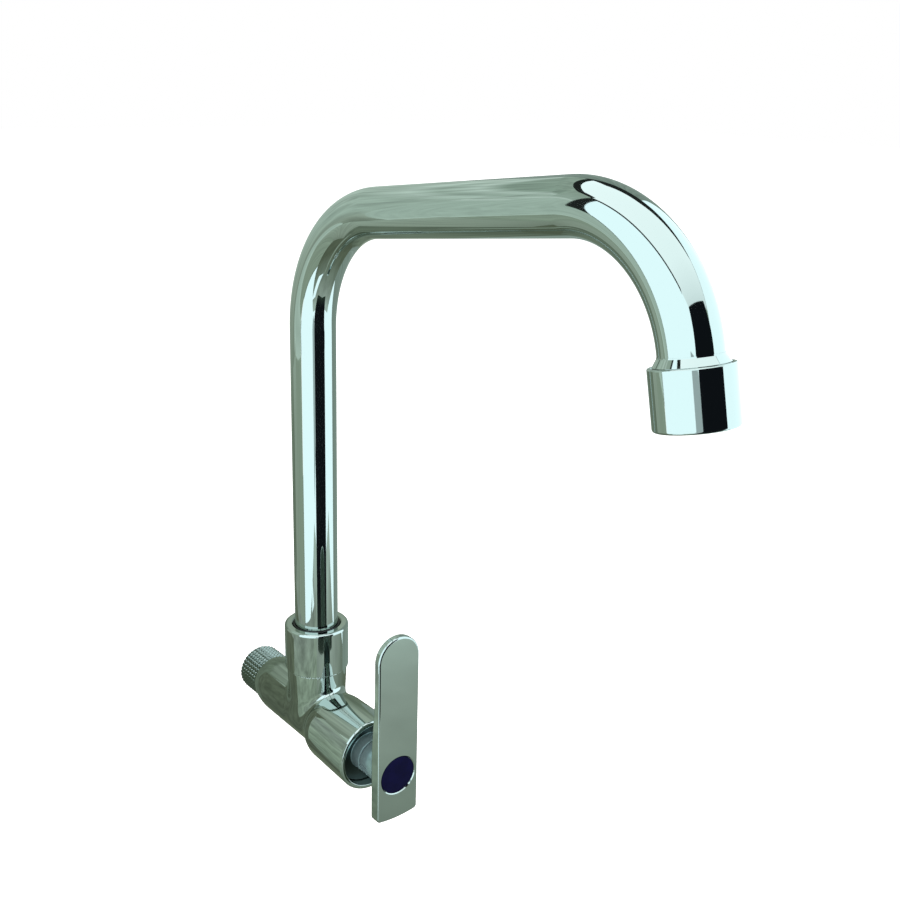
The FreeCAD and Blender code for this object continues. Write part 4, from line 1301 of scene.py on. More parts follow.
@dataclass
class Bonnet(SubAssembly):
    """The cover in the barrel's recess, with the neck that the spindle comes through.

    Attributes:
        bore: Radius of the hole for the spindle.
        back: Distance of its back from the wall.
        cover_radius: Radius of the cover.
        face: Distance of the cover's face from the wall.
        face_rounding: Rounding of the cover's edge.
        neck_radius: Radius of the neck.
        neck_root: Rounding at the neck's root.
        neck_end: Distance of the neck's end from the wall.
        neck_rounding: Rounding of the neck's edge.
        columns: Points round it.
    """

    bore: float = 4.3
    back: float = 72.1
    cover_radius: float = 13.25
    face: float = 73.1
    face_rounding: float = 0.4
    neck_radius: float = 7.6
    neck_root: float = 0.5
    neck_end: float = 78.4
    neck_rounding: float = 0.25
    columns: int = 192

    def build(self, finishes: Finishes) -> list[bpy.types.Object]:
        """Builds and dresses the bonnet.

        Args:
            finishes: The finishes.

        Returns:
            The piece.
        """
        outline = profile(
            [
                Corner(self.bore, self.back),
                Corner(self.cover_radius, self.back, BROKEN_EDGE),
                Corner(self.cover_radius, self.face, self.face_rounding),
                Corner(self.neck_radius, self.face, self.neck_root),
                Corner(self.neck_radius, self.neck_end, self.neck_rounding),
                Corner(self.bore, self.neck_end, BROKEN_EDGE),
            ]
        )
        dress = Dress(Body.FIXED, Slot.PLATED_BRASS, finishes.turned_chrome, ("bonnet",))
        return [add_piece("bonnet_cover", [VALVE_AXIS.turned(outline, full_turn(self.columns))], dress)]


@dataclass
class SpoutTube(SubAssembly):
    """The swan neck: one drawn tube bent twice.

    Attributes:
        distance: Distance of the riser's axis from the wall.
        radius: Outer radius.
        wall: Wall thickness.
        start: Height of the lower end.
        first_bend: Height at which the first bend starts.
        bend_radii: Radii of the two bends.
        turns: Angles that the two bends turn through, in degrees.
        run: Length of the straight run between the bends.
        end: Length of the straight end after the second bend.
        columns: Points round the tube.
    """

    distance: float = SPOUT_DISTANCE
    radius: float = 9.0
    wall: float = 1.0
    start: float = 35.75
    first_bend: float = 169.9
    bend_radii: tuple[float, float] = (49.1, 42.7)
    turns: tuple[float, float] = (82.8, 84.6)
    run: float = 96.0
    end: float = 6.5
    columns: int = 144

    def path(self) -> Profile:
        """The axis of the tube, as distances from the riser's axis and heights.

        Returns:
            The open chain.
        """
        setbacks = [r * math.tan(math.radians(t) / 2) for r, t in zip(self.bend_radii, self.turns)]
        first = np.array([0.0, self.first_bend + setbacks[0]])
        heading = math.radians(self.turns[0])
        second = first + np.array([math.sin(heading), math.cos(heading)]) * (sum(setbacks) + self.run)
        heading += math.radians(self.turns[1])
        last = second + np.array([math.sin(heading), math.cos(heading)]) * (setbacks[1] + self.end)
        return profile(
            [
                Corner(0.0, self.start),
                Corner(*first, self.bend_radii[0]),
                Corner(*second, self.bend_radii[1]),
                Corner(*last),
            ],
            closed=False,
            step=1.5,
        )

    def surface(self) -> Surface:
        """The tube's surface: outer rows along the path, inner rows back, flat lips between.

        At a path point P with the tangent T and the normal N in the path's plane, the point at the angle v
        is P + r (N cos v + (T x N) sin v).

        Returns:
            The closed surface.
        """
        path = self.path()
        count = len(path.points)
        flat = path.leaving
        places = np.stack([np.zeros(count), -self.distance - path.points[:, 0], path.points[:, 1]], -1)
        sides = np.stack([np.zeros(count), -flat[:, 0], flat[:, 1]], -1)
        tangents = np.stack([np.zeros(count), flat[:, 1], flat[:, 0]], -1)
        third = np.cross(tangents, sides)
        angles = full_turn(self.columns)[None, :, None]
        spokes = np.cos(angles) * sides[:, None] + np.sin(angles) * third[:, None]
        outer = places[:, None] + spokes * self.radius
        inner = places[:, None] + spokes * (self.radius - self.wall)
        lips = np.repeat(tangents[[0, -1], None], self.columns, 1)
        leaving = np.concatenate([spokes[:-1], lips[1:], -spokes[:0:-1], -lips[:1]])
        arriving = np.concatenate([-lips[:1], spokes[1:], lips[1:], -spokes[-2::-1]])
        return Surface(np.concatenate([outer, inner[::-1]]), leaving, arriving, True)

    def build(self, finishes: Finishes) -> list[bpy.types.Object]:
        """Builds and dresses the tube.

        Args:
            finishes: The finishes.

        Returns:
            The piece.
        """
        dress = Dress(Body.SPOUT, Slot.PLATED_STEEL, finishes.tube_chrome, ("spout_tube",))
        return [add_piece("spout_tube_skin", [self.surface()], dress)]


@dataclass
class Nozzle(SubAssembly):
    """The flared collar on the spout's end and the screwed cup that holds the aerator.

    All distances are counted down the outlet's axis, from the end of the second bend.

    Attributes:
        axis: The outlet's axis.
        socket: Radius of the collar's socket round the tube.
        tube_end: Distance at which the tube ends in it.
        flare: Radii and distances of the flare, from its thin upper edge to its shoulder.
        thread_radius: Radius of the collar's thread.
        thread_end: Distance at which it ends.
        waterway: Radius of the way through the collar.
        cup_radius: Outer radius of the cup.
        cup_reach: Distances of the cup's upper and lower edge.
        cup_roundings: Roundings of the cup's upper, lower and lower inner edge.
        cup_thread: Radius of the cup's bore round the collar's thread.
        cup_thread_end: Distance at which that bore ends.
        chamber: Radius of the cup's bore round the aerator.
        lip: Radius of the opening in the lip that holds the aerator.
        lip_back: Distance of the lip's upper face.
        columns: Points round each piece.
    """

    axis: Axis = OUTLET_AXIS
    socket: float = 9.05
    tube_end: float = 6.5
    flare: tuple[tuple[float, float], ...] = ((9.05, 0.3), (9.12, 0.7), (10.5, 2.9), (10.5, 3.3))
    thread_radius: float = 10.8
    thread_end: float = 10.3
    waterway: float = 8.0
    cup_radius: float = 11.9
    cup_reach: tuple[float, float] = (3.0, 20.1)
    cup_roundings: tuple[float, float, float] = (0.5, 0.8, 0.3)
    cup_thread: float = 10.85
    cup_thread_end: float = 11.7
    chamber: float = 9.95
    lip: float = 8.95
    lip_back: float = 19.05
    columns: int = 192

    def collar_profile(self) -> Profile:
        """The collar's section, from the tube's end up the socket, over the flare and down the thread.

        Returns:
            The closed chain.
        """
        return profile(
            [
                Corner(self.socket, self.tube_end),
                *(Corner(radius, distance) for radius, distance in self.flare),
                Corner(self.thread_radius, self.flare[-1][1]),
                Corner(self.thread_radius, self.thread_end),
                Corner(self.waterway, self.thread_end),
                Corner(self.waterway, self.tube_end),
            ]
        )

    def cup_profile(self) -> Profile:
        """The cup's section, from its upper inner edge over the outside and back through the bores.

        Returns:
            The closed chain.
        """
        top, bottom = self.cup_reach
        top_rounding, bottom_rounding, lip_rounding = self.cup_roundings
        return profile(
            [
                Corner(self.cup_thread, top),
                Corner(self.cup_radius, top, top_rounding),
                Corner(self.cup_radius, bottom, bottom_rounding),
                Corner(self.lip, bottom, lip_rounding),
                Corner(self.lip, self.lip_back),
                Corner(self.chamber, self.lip_back),
                Corner(self.chamber, self.cup_thread_end),
                Corner(self.cup_thread, self.cup_thread_end),
            ]
        )

    def build(self, finishes: Finishes) -> list[bpy.types.Object]:
        """Builds and dresses collar and cup.

        Args:
            finishes: The finishes.

        Returns:
            The pieces.
        """
        angles = full_turn(self.columns)
        collar = Dress(Body.SPOUT, Slot.PLATED_BRASS, finishes.turned_chrome, ("outlet_collar",))
        cup = Dress(Body.SPOUT, Slot.PLATED_BRASS, finishes.turned_chrome, ("aerator_housing",))
        return [
            add_piece("outlet_collar_flare", [self.axis.turned(self.collar_profile(), angles)], collar),
            add_piece("aerator_cup", [self.axis.turned(self.cup_profile(), angles)], cup),
        ]


@dataclass
class Lever(SubAssembly):
    """The flat upright lever with its hub and the recess for the disc in its face.

    The outline lies in the plane of (height, distance to the left), so that it turns the same way as the
    columns of surfaces turned about the valve axis.

    Attributes:
        front: Distance of the face from the wall.
        half_width: Half the width.
        bottom: Height at which the sides would meet the lower edge.
        bottom_radius: Radius of the lower edge, a shallow arc.
        round_centre: Height at which the round top begins.
        corner: Rounding of the lower corners.
        edge: Rounding of the edges.
        thickness: Thickness at the hub.
        tip_thickness: Thickness at the tip.
        taper: Heights between which the thickness changes.
        recess_mouth: Radius at which the disc's recess meets the face.
        recess: Radius of the recess, with the distances of its edge and of its floor from the wall.
        screw_head: Radius of the hole for the screw's head, with the distance of its floor.
        screw_hole: Radius of the screw's hole, with the distance of its rear end.
        spline_socket: Radius of the socket for the spindle.
        hub_radius: Radius of the hub.
        hub_end: Distance of the hub's end from the wall.
        hub_edges: Roundings of the hub's inner and outer edge.
        hub_root: Rounding at the hub's root.
        hub_meet: Radius at which that rounding meets the back.
        columns: Points round the lever.
        back_rows: Rows over the back.
        edge_rows: Rows over each rounded edge.
        samples: Points at which the outline is measured.
    """

    front: float = 95.2
    half_width: float = 9.65
    bottom: float = -18.86
    bottom_radius: float = 50.0
    round_centre: float = 51.25
    corner: float = 1.5
    edge: float = 0.9
    thickness: float = 5.2
    tip_thickness: float = 3.3
    taper: tuple[float, float] = (9.0, 38.0)
    recess_mouth: float = 8.35
    recess: tuple[float, float, float] = (8.0, 94.85, 93.3)
    screw_head: tuple[float, float] = (3.7, 90.85)
    screw_hole: tuple[float, float] = (2.1, 88.45)
    spline_socket: float = 3.72
    hub_radius: float = 7.6
    hub_end: float = 78.8
    hub_edges: tuple[float, float] = (0.2, 0.3)
    hub_root: float = 1.0
    hub_meet: float = 8.7
    columns: int = 400
    back_rows: int = 20
    edge_rows: int = 7
    samples: int = 20001

    def outline(self) -> tuple[Array, Array, Array]:
        """The outline's columns: half spread by length and half by angle about the axis.

        The lower edge's arc has its centre c above the corners, where c is the root of its radius squared
        less the half width squared. A corner's rounding touches both the side and that arc, so its centre
        is a distance of the difference of their radii from the arc's centre.

        Returns:
            The points, their outward normals and their angles about the axis.
        """
        centre = self.bottom + math.sqrt(self.bottom_radius**2 - self.half_width**2)
        between = self.bottom_radius - self.corner
        lean = math.asin((self.half_width - self.corner) / between)
        side_end = centre - between * math.cos(lean)
        foot = centre - self.bottom_radius * math.cos(lean)
        foot_width = self.bottom_radius * math.sin(lean)
        corner_turn = 90.0 - math.degrees(lean)
        chain = profile(
            [
                Corner(self.round_centre, self.half_width),
                Corner(side_end, self.half_width, 0.0, corner_turn),
                Corner(foot, foot_width, 0.0, 2 * math.degrees(lean)),
                Corner(foot, -foot_width, 0.0, corner_turn),
                Corner(side_end, -self.half_width),
                Corner(self.round_centre, -self.half_width, 0.0, 180.0),
            ],
            step=3.0,
        )
        length = perimeter(chain)
        fine = np.linspace(0.0, length, self.samples)
        places, _ = resampled(chain, fine)
        angles = np.unwrap(np.arctan2(places[:, 1], places[:, 0]))
        weight = fine / length + (angles - angles[0]) / (2 * math.pi)
        wanted = np.linspace(0.0, 2.0, self.columns, endpoint=False)
        positions = np.interp(wanted, weight, fine)
        points, normals = resampled(chain, positions)
        return points, normals, np.interp(wanted, weight, angles)

    def back_at(self, height: Array) -> tuple[Array, Array]:
        """The back's distance from the wall at given heights, and its slope.

        The thickness follows 3 u squared - 2 u cubed between the two taper heights.

        Args:
            height: Heights in millimetres.

        Returns:
            Distances and slopes.
        """
        low, high = self.taper
        part = np.clip((height - low) / (high - low), 0.0, 1.0)
        change = self.thickness - self.tip_thickness
        distance = self.front - self.thickness + change * part**2 * (3 - 2 * part)
        return distance, change * 6 * part * (1 - part) / (high - low)

    def bore_profile(self) -> Profile:
        """The chain from the face through recess and screw hole and round the hub to the back.

        Returns:
            The open chain.
        """
        recess, recess_edge, recess_floor = self.recess
        head, head_floor = self.screw_head
        hole, hole_end = self.screw_hole
        inner_edge, outer_edge = self.hub_edges
        root = self.front - self.thickness
        return profile(
            [
                Corner(self.recess_mouth, self.front),
                Corner(recess, recess_edge),
                Corner(recess, recess_floor),
                Corner(head, recess_floor),
                Corner(head, head_floor),
                Corner(hole, head_floor),
                Corner(hole, hole_end),
                Corner(self.spline_socket, hole_end),
                Corner(self.spline_socket, self.hub_end, inner_edge),
                Corner(self.hub_radius, self.hub_end, outer_edge),
                Corner(self.hub_radius, root, self.hub_root),
                Corner(self.hub_meet, root),
            ],
            closed=False,
        )

    def surface(self) -> Surface:
        """The lever's skin: back, rounded edges, face, recess, screw hole, socket and hub.

        The back's rows lie between the circle where the hub meets it, at part zero, and the outline moved
        in by the edge's rounding, at part one. Over the angle t from 0 to 90 degrees the rear edge moves
        out by sin t and forward by 1 - cos t times that rounding, and the front edge mirrors it.

        Returns:
            The closed surface.
        """
        points, normals, angles = self.outline()
        along = np.array(VALVE_AXIS.along)
        basis = np.stack([VALVE_AXIS.spokes(np.array(v)) for v in (0.0, math.pi / 2)])

        def placed(flat: Array, distance: Array) -> Array:
            """Points at given distances from the wall over points of the outline's plane."""
            return flat @ basis + distance[..., None] * along

        hub = np.stack([np.cos(angles), np.sin(angles)], -1) * self.hub_meet
        inset = points - normals * self.edge
        rows, row_normals = [], []
        for part in np.linspace(0.0, 1.0, self.back_rows)[:-1]:
            flat = hub * (1 - part) + inset * part
            distance, slope = self.back_at(flat[:, 0])
            rows.append(placed(flat, distance))
            row_normals.append(unit(slope[:, None] * basis[0] - along))
        outward = normals @ basis
        for turn in np.linspace(0.0, math.pi / 2, self.edge_rows):
            flat = points - normals * self.edge * (1 - math.sin(turn))
            distance, slope = self.back_at(flat[:, 0])
            back = unit(slope[:, None] * basis[0] - along)
            rows.append(placed(flat, distance + self.edge * (1 - math.cos(turn))))
            row_normals.append(unit(back * math.cos(turn) + outward * math.sin(turn)))
        for turn in np.linspace(0.0, math.pi / 2, self.edge_rows):
            flat = points - normals * self.edge * (1 - math.cos(turn))
            distance = np.full(len(flat), self.front - self.edge * (1 - math.sin(turn)))
            rows.append(placed(flat, distance))
            row_normals.append(along * math.sin(turn) + outward * math.cos(turn))
        turned = VALVE_AXIS.turned(self.bore_profile(), angles)
        skin = Surface(np.stack(rows), np.stack(row_normals), np.stack(row_normals), False)
        flat_face = np.broadcast_to(along, skin.points[:1].shape)
        bridge = Surface(
            np.concatenate([skin.points[-1:], turned.points[:1]]),
            np.concatenate([flat_face, flat_face]),
            np.concatenate([flat_face, flat_face]),
            False,
        )
        return stacked([skin, bridge, turned], closed=True)

    def build(self, finishes: Finishes) -> list[bpy.types.Object]:
        """Builds and dresses the lever.

        Args:
            finishes: The finishes.

        Returns:
            The piece.
        """
        dress = Dress(Body.LEVER, Slot.PLATED_ZINC, finishes.lever_chrome, ("lever_handle",))
        return [add_piece("lever_casting", [self.surface()], dress)]


@dataclass
class IndicatorDisc(SubAssembly):
    """The dark button in the lever's face: flat behind and slightly domed in front.

    Attributes:
        radius: Its radius.
        back: Distance of its back from the wall.
        back_rounding: Rounding of its rear edge.
        rim: Distance of its front edge from the wall.
        rim_rounding: Rounding of that edge.
        crown: Distance of the dome's top from the wall.
        dome: Angle that the dome's section turns through, in degrees.
        centre_flat: Radius of the flats that close it on the axis.
        columns: Points round it.
    """

    radius: float = 7.9
    back: float = 93.4
    back_rounding: float = 0.2
    rim: float = 94.9
    rim_rounding: float = 0.3
    crown: float = 95.2
    dome: float = 4.6
    centre_flat: float = 0.3
    columns: int = 192

    def build(self, finishes: Finishes) -> list[bpy.types.Object]:
        """Builds and dresses the disc.

        Args:
            finishes: The finishes.

        Returns:
            The piece.
        """
        outline = profile(
            [
                Corner(self.centre_flat, self.back),
                Corner(self.radius, self.back, self.back_rounding),
                Corner(self.radius, self.rim, self.rim_rounding, self.dome),
                Corner(self.centre_flat, self.crown),
            ],
            closed=False,
            step=0.5,
        )
        dress = Dress(Body.LEVER, Slot.NAVY_PLASTIC, finishes.navy_enamel, ("indicator_cap",))
        return [add_piece("indicator_disc", [VALVE_AXIS.turned(outline, full_turn(self.columns))], dress)]


def dress_solids(finishes: Finishes) -> None:
    """Gives every solid of the frame its finish, also those that stay hidden inside.

    Args:
        finishes: The finishes.
    """
    wearers = (
        (finishes.cast_chrome, ("tap_body",)),
        (finishes.tube_chrome, ("spout_tube",)),
        (finishes.turned_chrome, ("swivel_nut", "bonnet", "outlet_collar", "aerator_housing")),
        (finishes.lever_chrome, ("lever_handle",)),
        (finishes.brass, ("headwork_housing", "spout_ferrule", "spindle")),
        (finishes.steel, ("upper_aerator_screen", "lower_aerator_screen", "handle_screw", "spindle_circlip")),
        (finishes.rubber, ("seat_gasket", "upper_spout_o_ring", "lower_spout_o_ring", "aerator_washer")),
        (finishes.rubber, ("rear_spindle_o_ring", "front_spindle_o_ring")),
        (finishes.fibre, ("headwork_gasket",)),
        (finishes.ceramic, ("fixed_ceramic_disc", "moving_ceramic_disc")),
        (finishes.black_acetal, ("nut_glide_ring",)),
        (finishes.white_acetal, ("friction_washer", "aerator_insert")),
        (finishes.white_acetal, ("aerator_distributor", "aerator_grille")),
        (finishes.navy_enamel, ("indicator_cap",)),
    )
    by_node = {name: finish for finish, names in wearers for name in names}
    for name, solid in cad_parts.items():
        for material_slot in solid.material_slots:
            material_slot.material = by_node[name]


# Camera and studio


@dataclass(frozen=True)
class PhotoCamera:
    """The camera at the photo's place.

    Attributes:
        place: Its place, in metres.
        heading: Angle of its view from +Y towards +X, in radians.
        pitch: Angle of its view below the horizontal, in radians.
        roll: Its turn about the line of sight, in radians.
        focal_mm: Focal length.
        sensor_mm: Width of the sensor.
        clip: Nearest and farthest distance that it sees, in metres.
    """

    place: Point = (-0.23495, -0.41045, 0.26683)
    heading: float = 0.6840
    pitch: float = 0.3201
    roll: float = 0.0269
    focal_mm: float = 46.0
    sensor_mm: float = 36.0
    clip: tuple[float, float] = (0.01, 50.0)

    def build(self) -> None:
        """Makes the scene's camera."""
        level = math.cos(self.pitch)
        ahead = (math.sin(self.heading) * level, math.cos(self.heading) * level, -math.sin(self.pitch))
        sight = Vector(ahead)
        right = sight.cross(Vector((0, 0, 1))).normalized()
        up = right.cross(sight)
        rolled_right = math.cos(self.roll) * right + math.sin(self.roll) * up
        rolled_up = math.cos(self.roll) * up - math.sin(self.roll) * right
        data = bpy.data.cameras.new("photo_camera")
        data.sensor_width = self.sensor_mm
        data.lens = self.focal_mm
        data.clip_start, data.clip_end = self.clip
        camera = bpy.data.objects.new("photo_camera", data)
        turn = Matrix((rolled_right, rolled_up, -sight)).transposed().to_4x4()
        camera.matrix_world = Matrix.Translation(Vector(self.place)) @ turn
        bpy.context.scene.collection.objects.link(camera)
        bpy.context.scene.camera = camera


def mirrored(colour: str) -> tuple[float, float, float]:
    """The light that chrome must mirror to show a given colour.

    Args:
        colour: The colour shown, in sRGB hex.

    Returns:
        Linear red, green and blue.
    """
    shown, plate = linear(colour), linear(CHROME_COLOUR)
    return shown[0] / plate[0], shown[1] / plate[1], shown[2] / plate[2]


@dataclass(frozen=True)
class Card:
    """A lit or dark board of the studio that only reflections see.

    Attributes:
        name: Its name.
        corners: Its four corners in order, in metres.
        stops: Places from its first edge (zero) to its third edge (one), with the colour that chrome shows
            there, in sRGB hex.
        streaks: How much lighter and darker its streaks are.
        grain: Number of streaks along its first and second edge.
    """

    name: str
    corners: tuple[Point, ...]
    stops: Stops
    streaks: float = 0.0
    grain: tuple[float, float] = (22.0, 0.7)

    def material(self) -> bpy.types.Material:
        """Builds the board's glow: a ramp up the board, times a noise that is drawn out into streaks.

        Returns:
            The material.
        """
        material, tree, _ = new_material(self.name)
        place = add_node(tree, "TexCoord").outputs["UV"]
        height = add_node(tree, "SeparateXYZ", {"Vector": place}).outputs["Y"]
        lights = [mirrored(colour) for _, colour in self.stops]
        scale = max(max(light) for light in lights)
        ramp = add_node(tree, "ValToRGB", {"Fac": height})
        elements = ramp.color_ramp.elements
        while len(elements) < len(self.stops):
            elements.new(0.5)
        if len(self.stops) == 1:
            elements.remove(elements[1])
        for element, (position, _), light in zip(elements, self.stops, lights):
            element.position = position
            element.color = (*(channel / scale for channel in light), 1.0)
        strength: bpy.types.NodeSocket | float = scale
        if self.streaks:
            stretched = add_node(tree, "Mapping", {"Vector": place, "Scale": (*self.grain, 1.0)})
            noise = add_node(
                tree,
                "TexNoise",
                {"Vector": stretched.outputs["Vector"], "Scale": 1.0, "Detail": 3.0, "Roughness": 0.6},
            )
            varied = add_node(
                tree,
                "MapRange",
                {
                    "Value": noise.outputs["Fac"],
                    "From Min": 0.3,
                    "From Max": 0.7,
                    "To Min": scale * (1 - self.streaks),
                    "To Max": scale * (1 + self.streaks),
                },
            )
            strength = varied.outputs["Result"]
        glow = add_node(tree, "Emission", {"Color": ramp.outputs["Color"], "Strength": strength})
        close_material(tree, glow.outputs["Emission"])
        return material

    def build(self) -> None:
        """Makes the board and hides it from all but reflections."""
        mesh = bpy.data.meshes.new(self.name)
        mesh.from_pydata(self.corners, [], [(0, 1, 2, 3)])
        layer = mesh.uv_layers.new(name="uv")
        layer.data.foreach_set("uv", [0, 0, 1, 0, 1, 1, 0, 1])
        mesh.materials.append(self.material())
        board = bpy.data.objects.new(self.name, mesh)
        board.visible_camera = False
        board.visible_diffuse = False
        board.visible_shadow = False
        board.visible_transmission = False
        bpy.context.scene.collection.objects.link(board)


def wall(
    name: str,
    start: tuple[float, float, float, float],
    end: tuple[float, float, float, float],
    stops: Stops,
    streaks: float = 0.0,
    grain: tuple[float, float] = (22.0, 0.7),
) -> Card:
    """An upright board.

    Args:
        name: Its name.
        start: X and Y of one end, with the heights of its lower and upper edge there, in metres.
        end: The same for its other end.
        stops: Colours from its lower to its upper edge.
        streaks: Strength of its streaks.
        grain: Number of streaks along it and up it.

    Returns:
        The board.
    """
    (x0, y0, low0, high0), (x1, y1, low1, high1) = start, end
    corners = ((x0, y0, low0), (x1, y1, low1), (x1, y1, high1), (x0, y0, high0))
    return Card(name, corners, stops, streaks, grain)


def sheet(
    name: str,
    rear: Point,
    front: Point,
    height: float,
    stops: Stops,
    streaks: float = 0.0,
    grain: tuple[float, float] = (22.0, 0.7),
) -> Card:
    """A level board whose rear and front edges run along X.

    Args:
        name: Its name.
        rear: Least and greatest X of its rear edge, and that edge's Y, in metres.
        front: The same for its front edge.
        height: Its height.
        stops: Colours from its rear to its front edge.
        streaks: Strength of its streaks.
        grain: Number of streaks along X and along Y.

    Returns:
        The board.
    """
    corners = (
        (rear[0], rear[2], height),
        (rear[1], rear[2], height),
        (front[1], front[2], height),
        (front[0], front[2], height),
    )
    return Card(name, corners, stops, streaks, grain)


def tone(colour: str) -> Stops:
    """The stops of a board of one colour."""
    return ((0.0, colour),)


# Height of the floor, in metres.
FLOOR = -0.10
# The level boards lie a hair above the floor, the upper ones over the lower.
LOWER_SHEET = FLOOR + 0.0005
UPPER_SHEET = FLOOR + 0.001

WINDOW = tone("DCFBFC")
SEAM = tone("1C211F")
BLACK = "0C1013"
DARK_FLOOR = ((0.0, "26332B"), (0.05, "1A2420"), (0.12, BLACK))

LEFT_WINDOW = (
    # The rear edge leans back between the lever's and the spout's height; thin dark lines follow it.
    wall("left_window_low", (-0.257, -0.027, FLOOR, 0.10), (-0.308, -0.529, FLOOR, 0.10), WINDOW),
    Card(
        "left_window_rear",
        ((-0.257, -0.027, 0.10), (-0.262, -0.08, 0.10), (-0.262, -0.08, 0.236), (-0.2515, 0.020, 0.236)),
        WINDOW,
    ),
    wall("left_window_mid", (-0.262, -0.08, 0.10, 0.236), (-0.308, -0.529, 0.10, 0.236), WINDOW),
    wall("left_window_top", (-0.2515, 0.022, 0.236, 0.52), (-0.308, -0.529, 0.236, 0.52), WINDOW),
    Card(
        "left_window_line",
        ((-0.2568, -0.030, 0.10), (-0.2560, -0.023, 0.10), (-0.2500, 0.025, 0.236), (-0.2508, 0.018, 0.236)),
        tone("3A4640"),
    ),
    wall("left_window_seam", (-0.2467, 0.058, 0.508, 0.545), (-0.3065, -0.529, 0.505, 0.545), SEAM),
    Card(
        "left_window_edge",
        ((-0.2467, 0.060, 0.250), (-0.2507, 0.021, 0.236), (-0.2507, 0.021, 0.53), (-0.2467, 0.060, 0.53)),
        SEAM,
    ),
    wall("left_corner_low", (-0.3005, -0.47, FLOOR, 0.235), (-0.3045, -0.67, FLOOR, 0.235), tone("8EA3A2")),
    wall("left_corner_top", (-0.308, -0.529, 0.235, 0.52), (-0.3055, -0.67, 0.235, 0.52), WINDOW),
)

FRONT_AND_RIGHT = (
    # The dark opening between the windows gives the black bands down riser, nozzle and nut.
    wall("dark_window", (-0.3055, -0.67, FLOOR, 0.52), (0.51, -1.04, FLOOR, 0.80), tone(BLACK)),
    wall("right_window", (0.216, -0.106, -0.08, 0.52), (0.51, -1.04, -0.08, 0.56), WINDOW),
    wall("right_seam", (0.178, 0.118, 0.515, 0.75), (0.214, -0.106, 0.515, 0.74), SEAM),
    wall("right_window_seam", (0.214, -0.106, 0.515, 0.74), (0.30, -0.38, 0.530, 0.56), SEAM),
    wall("right_window_line", (0.299, -0.38, 0.530, 0.545), (0.505, -1.03, 0.555, 0.57), tone("7E8E8C")),
    wall("right_wall", (0.216, -0.106, FLOOR, 0.54), (0.18, 0.12, FLOOR, 0.54), tone("6E8278"), 0.25),
)

BACK_AND_CEILING = (
    wall(
        "back_wall",
        (-0.2, 0.12, FLOOR, 0.55),
        (0.18, 0.12, FLOOR, 0.55),
        (
            (0.0, "4E5D4E"),
            (0.28, "5B6C5C"),
            (0.39, "839687"),
            (0.5, "8BA295"),
            (0.66, "8FA699"),
            (0.70, "9FB6AA"),
            (0.73, "8BA295"),
            (0.77, "A3BAAE"),
            (0.80, "7A9183"),
            (1.0, "82988A"),
        ),
        0.25,
        (14.0, 9.0),
    ),
    wall(
        "back_low_left",
        (-0.2, 0.1195, FLOOR, 0.11),
        (-0.09, 0.1195, FLOOR, 0.11),
        ((0.0, "6C7C6E"), (0.4, "7A8C7D"), (0.8, "7E9182"), (1.0, "879C8D")),
        0.2,
    ),
    wall(
        "back_panel",
        (-0.2, 0.119, 0.11, 0.335),
        (-0.15, 0.119, 0.11, 0.335),
        ((0.0, "A1BAAD"), (0.08, "93AB9E"), (0.9, "93AB9E"), (1.0, "ACC2B7")),
        0.12,
        (9.0, 3.0),
    ),
    wall("left_wall_low", (-0.257, -0.02, FLOOR, 0.10), (-0.2, 0.12, FLOOR, 0.10), tone("7A8E7D"), 0.2),
    Card(
        "left_wall_rear",
        ((-0.257, -0.02, 0.10), (-0.2, 0.12, 0.10), (-0.2, 0.12, 0.236), (-0.2509, 0.022, 0.236)),
        ((0.0, "A1BAAD"), (0.12, "93AB9E")),
        0.12,
        (9.0, 3.0),
    ),
    wall(
        "left_wall_top",
        (-0.2475, 0.057, 0.236, 0.53),
        (-0.2, 0.12, 0.236, 0.55),
        ((0.0, "93AB9E"), (0.33, "96AEA1"), (0.38, "ACC2B7"), (0.42, "8BA295"), (0.8, "82988A")),
        0.12,
        (9.0, 3.0),
    ),
    wall("back_seam", (-0.2, 0.118, 0.545, 0.60), (0.18, 0.118, 0.545, 0.60), SEAM),
    wall("rear_left_seam", (-0.2465, 0.057, 0.53, 0.585), (-0.2, 0.118, 0.545, 0.60), SEAM),
    sheet(
        "ceiling",
        (-0.6, 0.7, 0.3),
        (-0.6, 0.7, -1.2),
        0.80,
        ((0.0, "E4FAF8"), (0.55, "DCF4F2"), (1.0, "BCD4D2")),
    ),
)

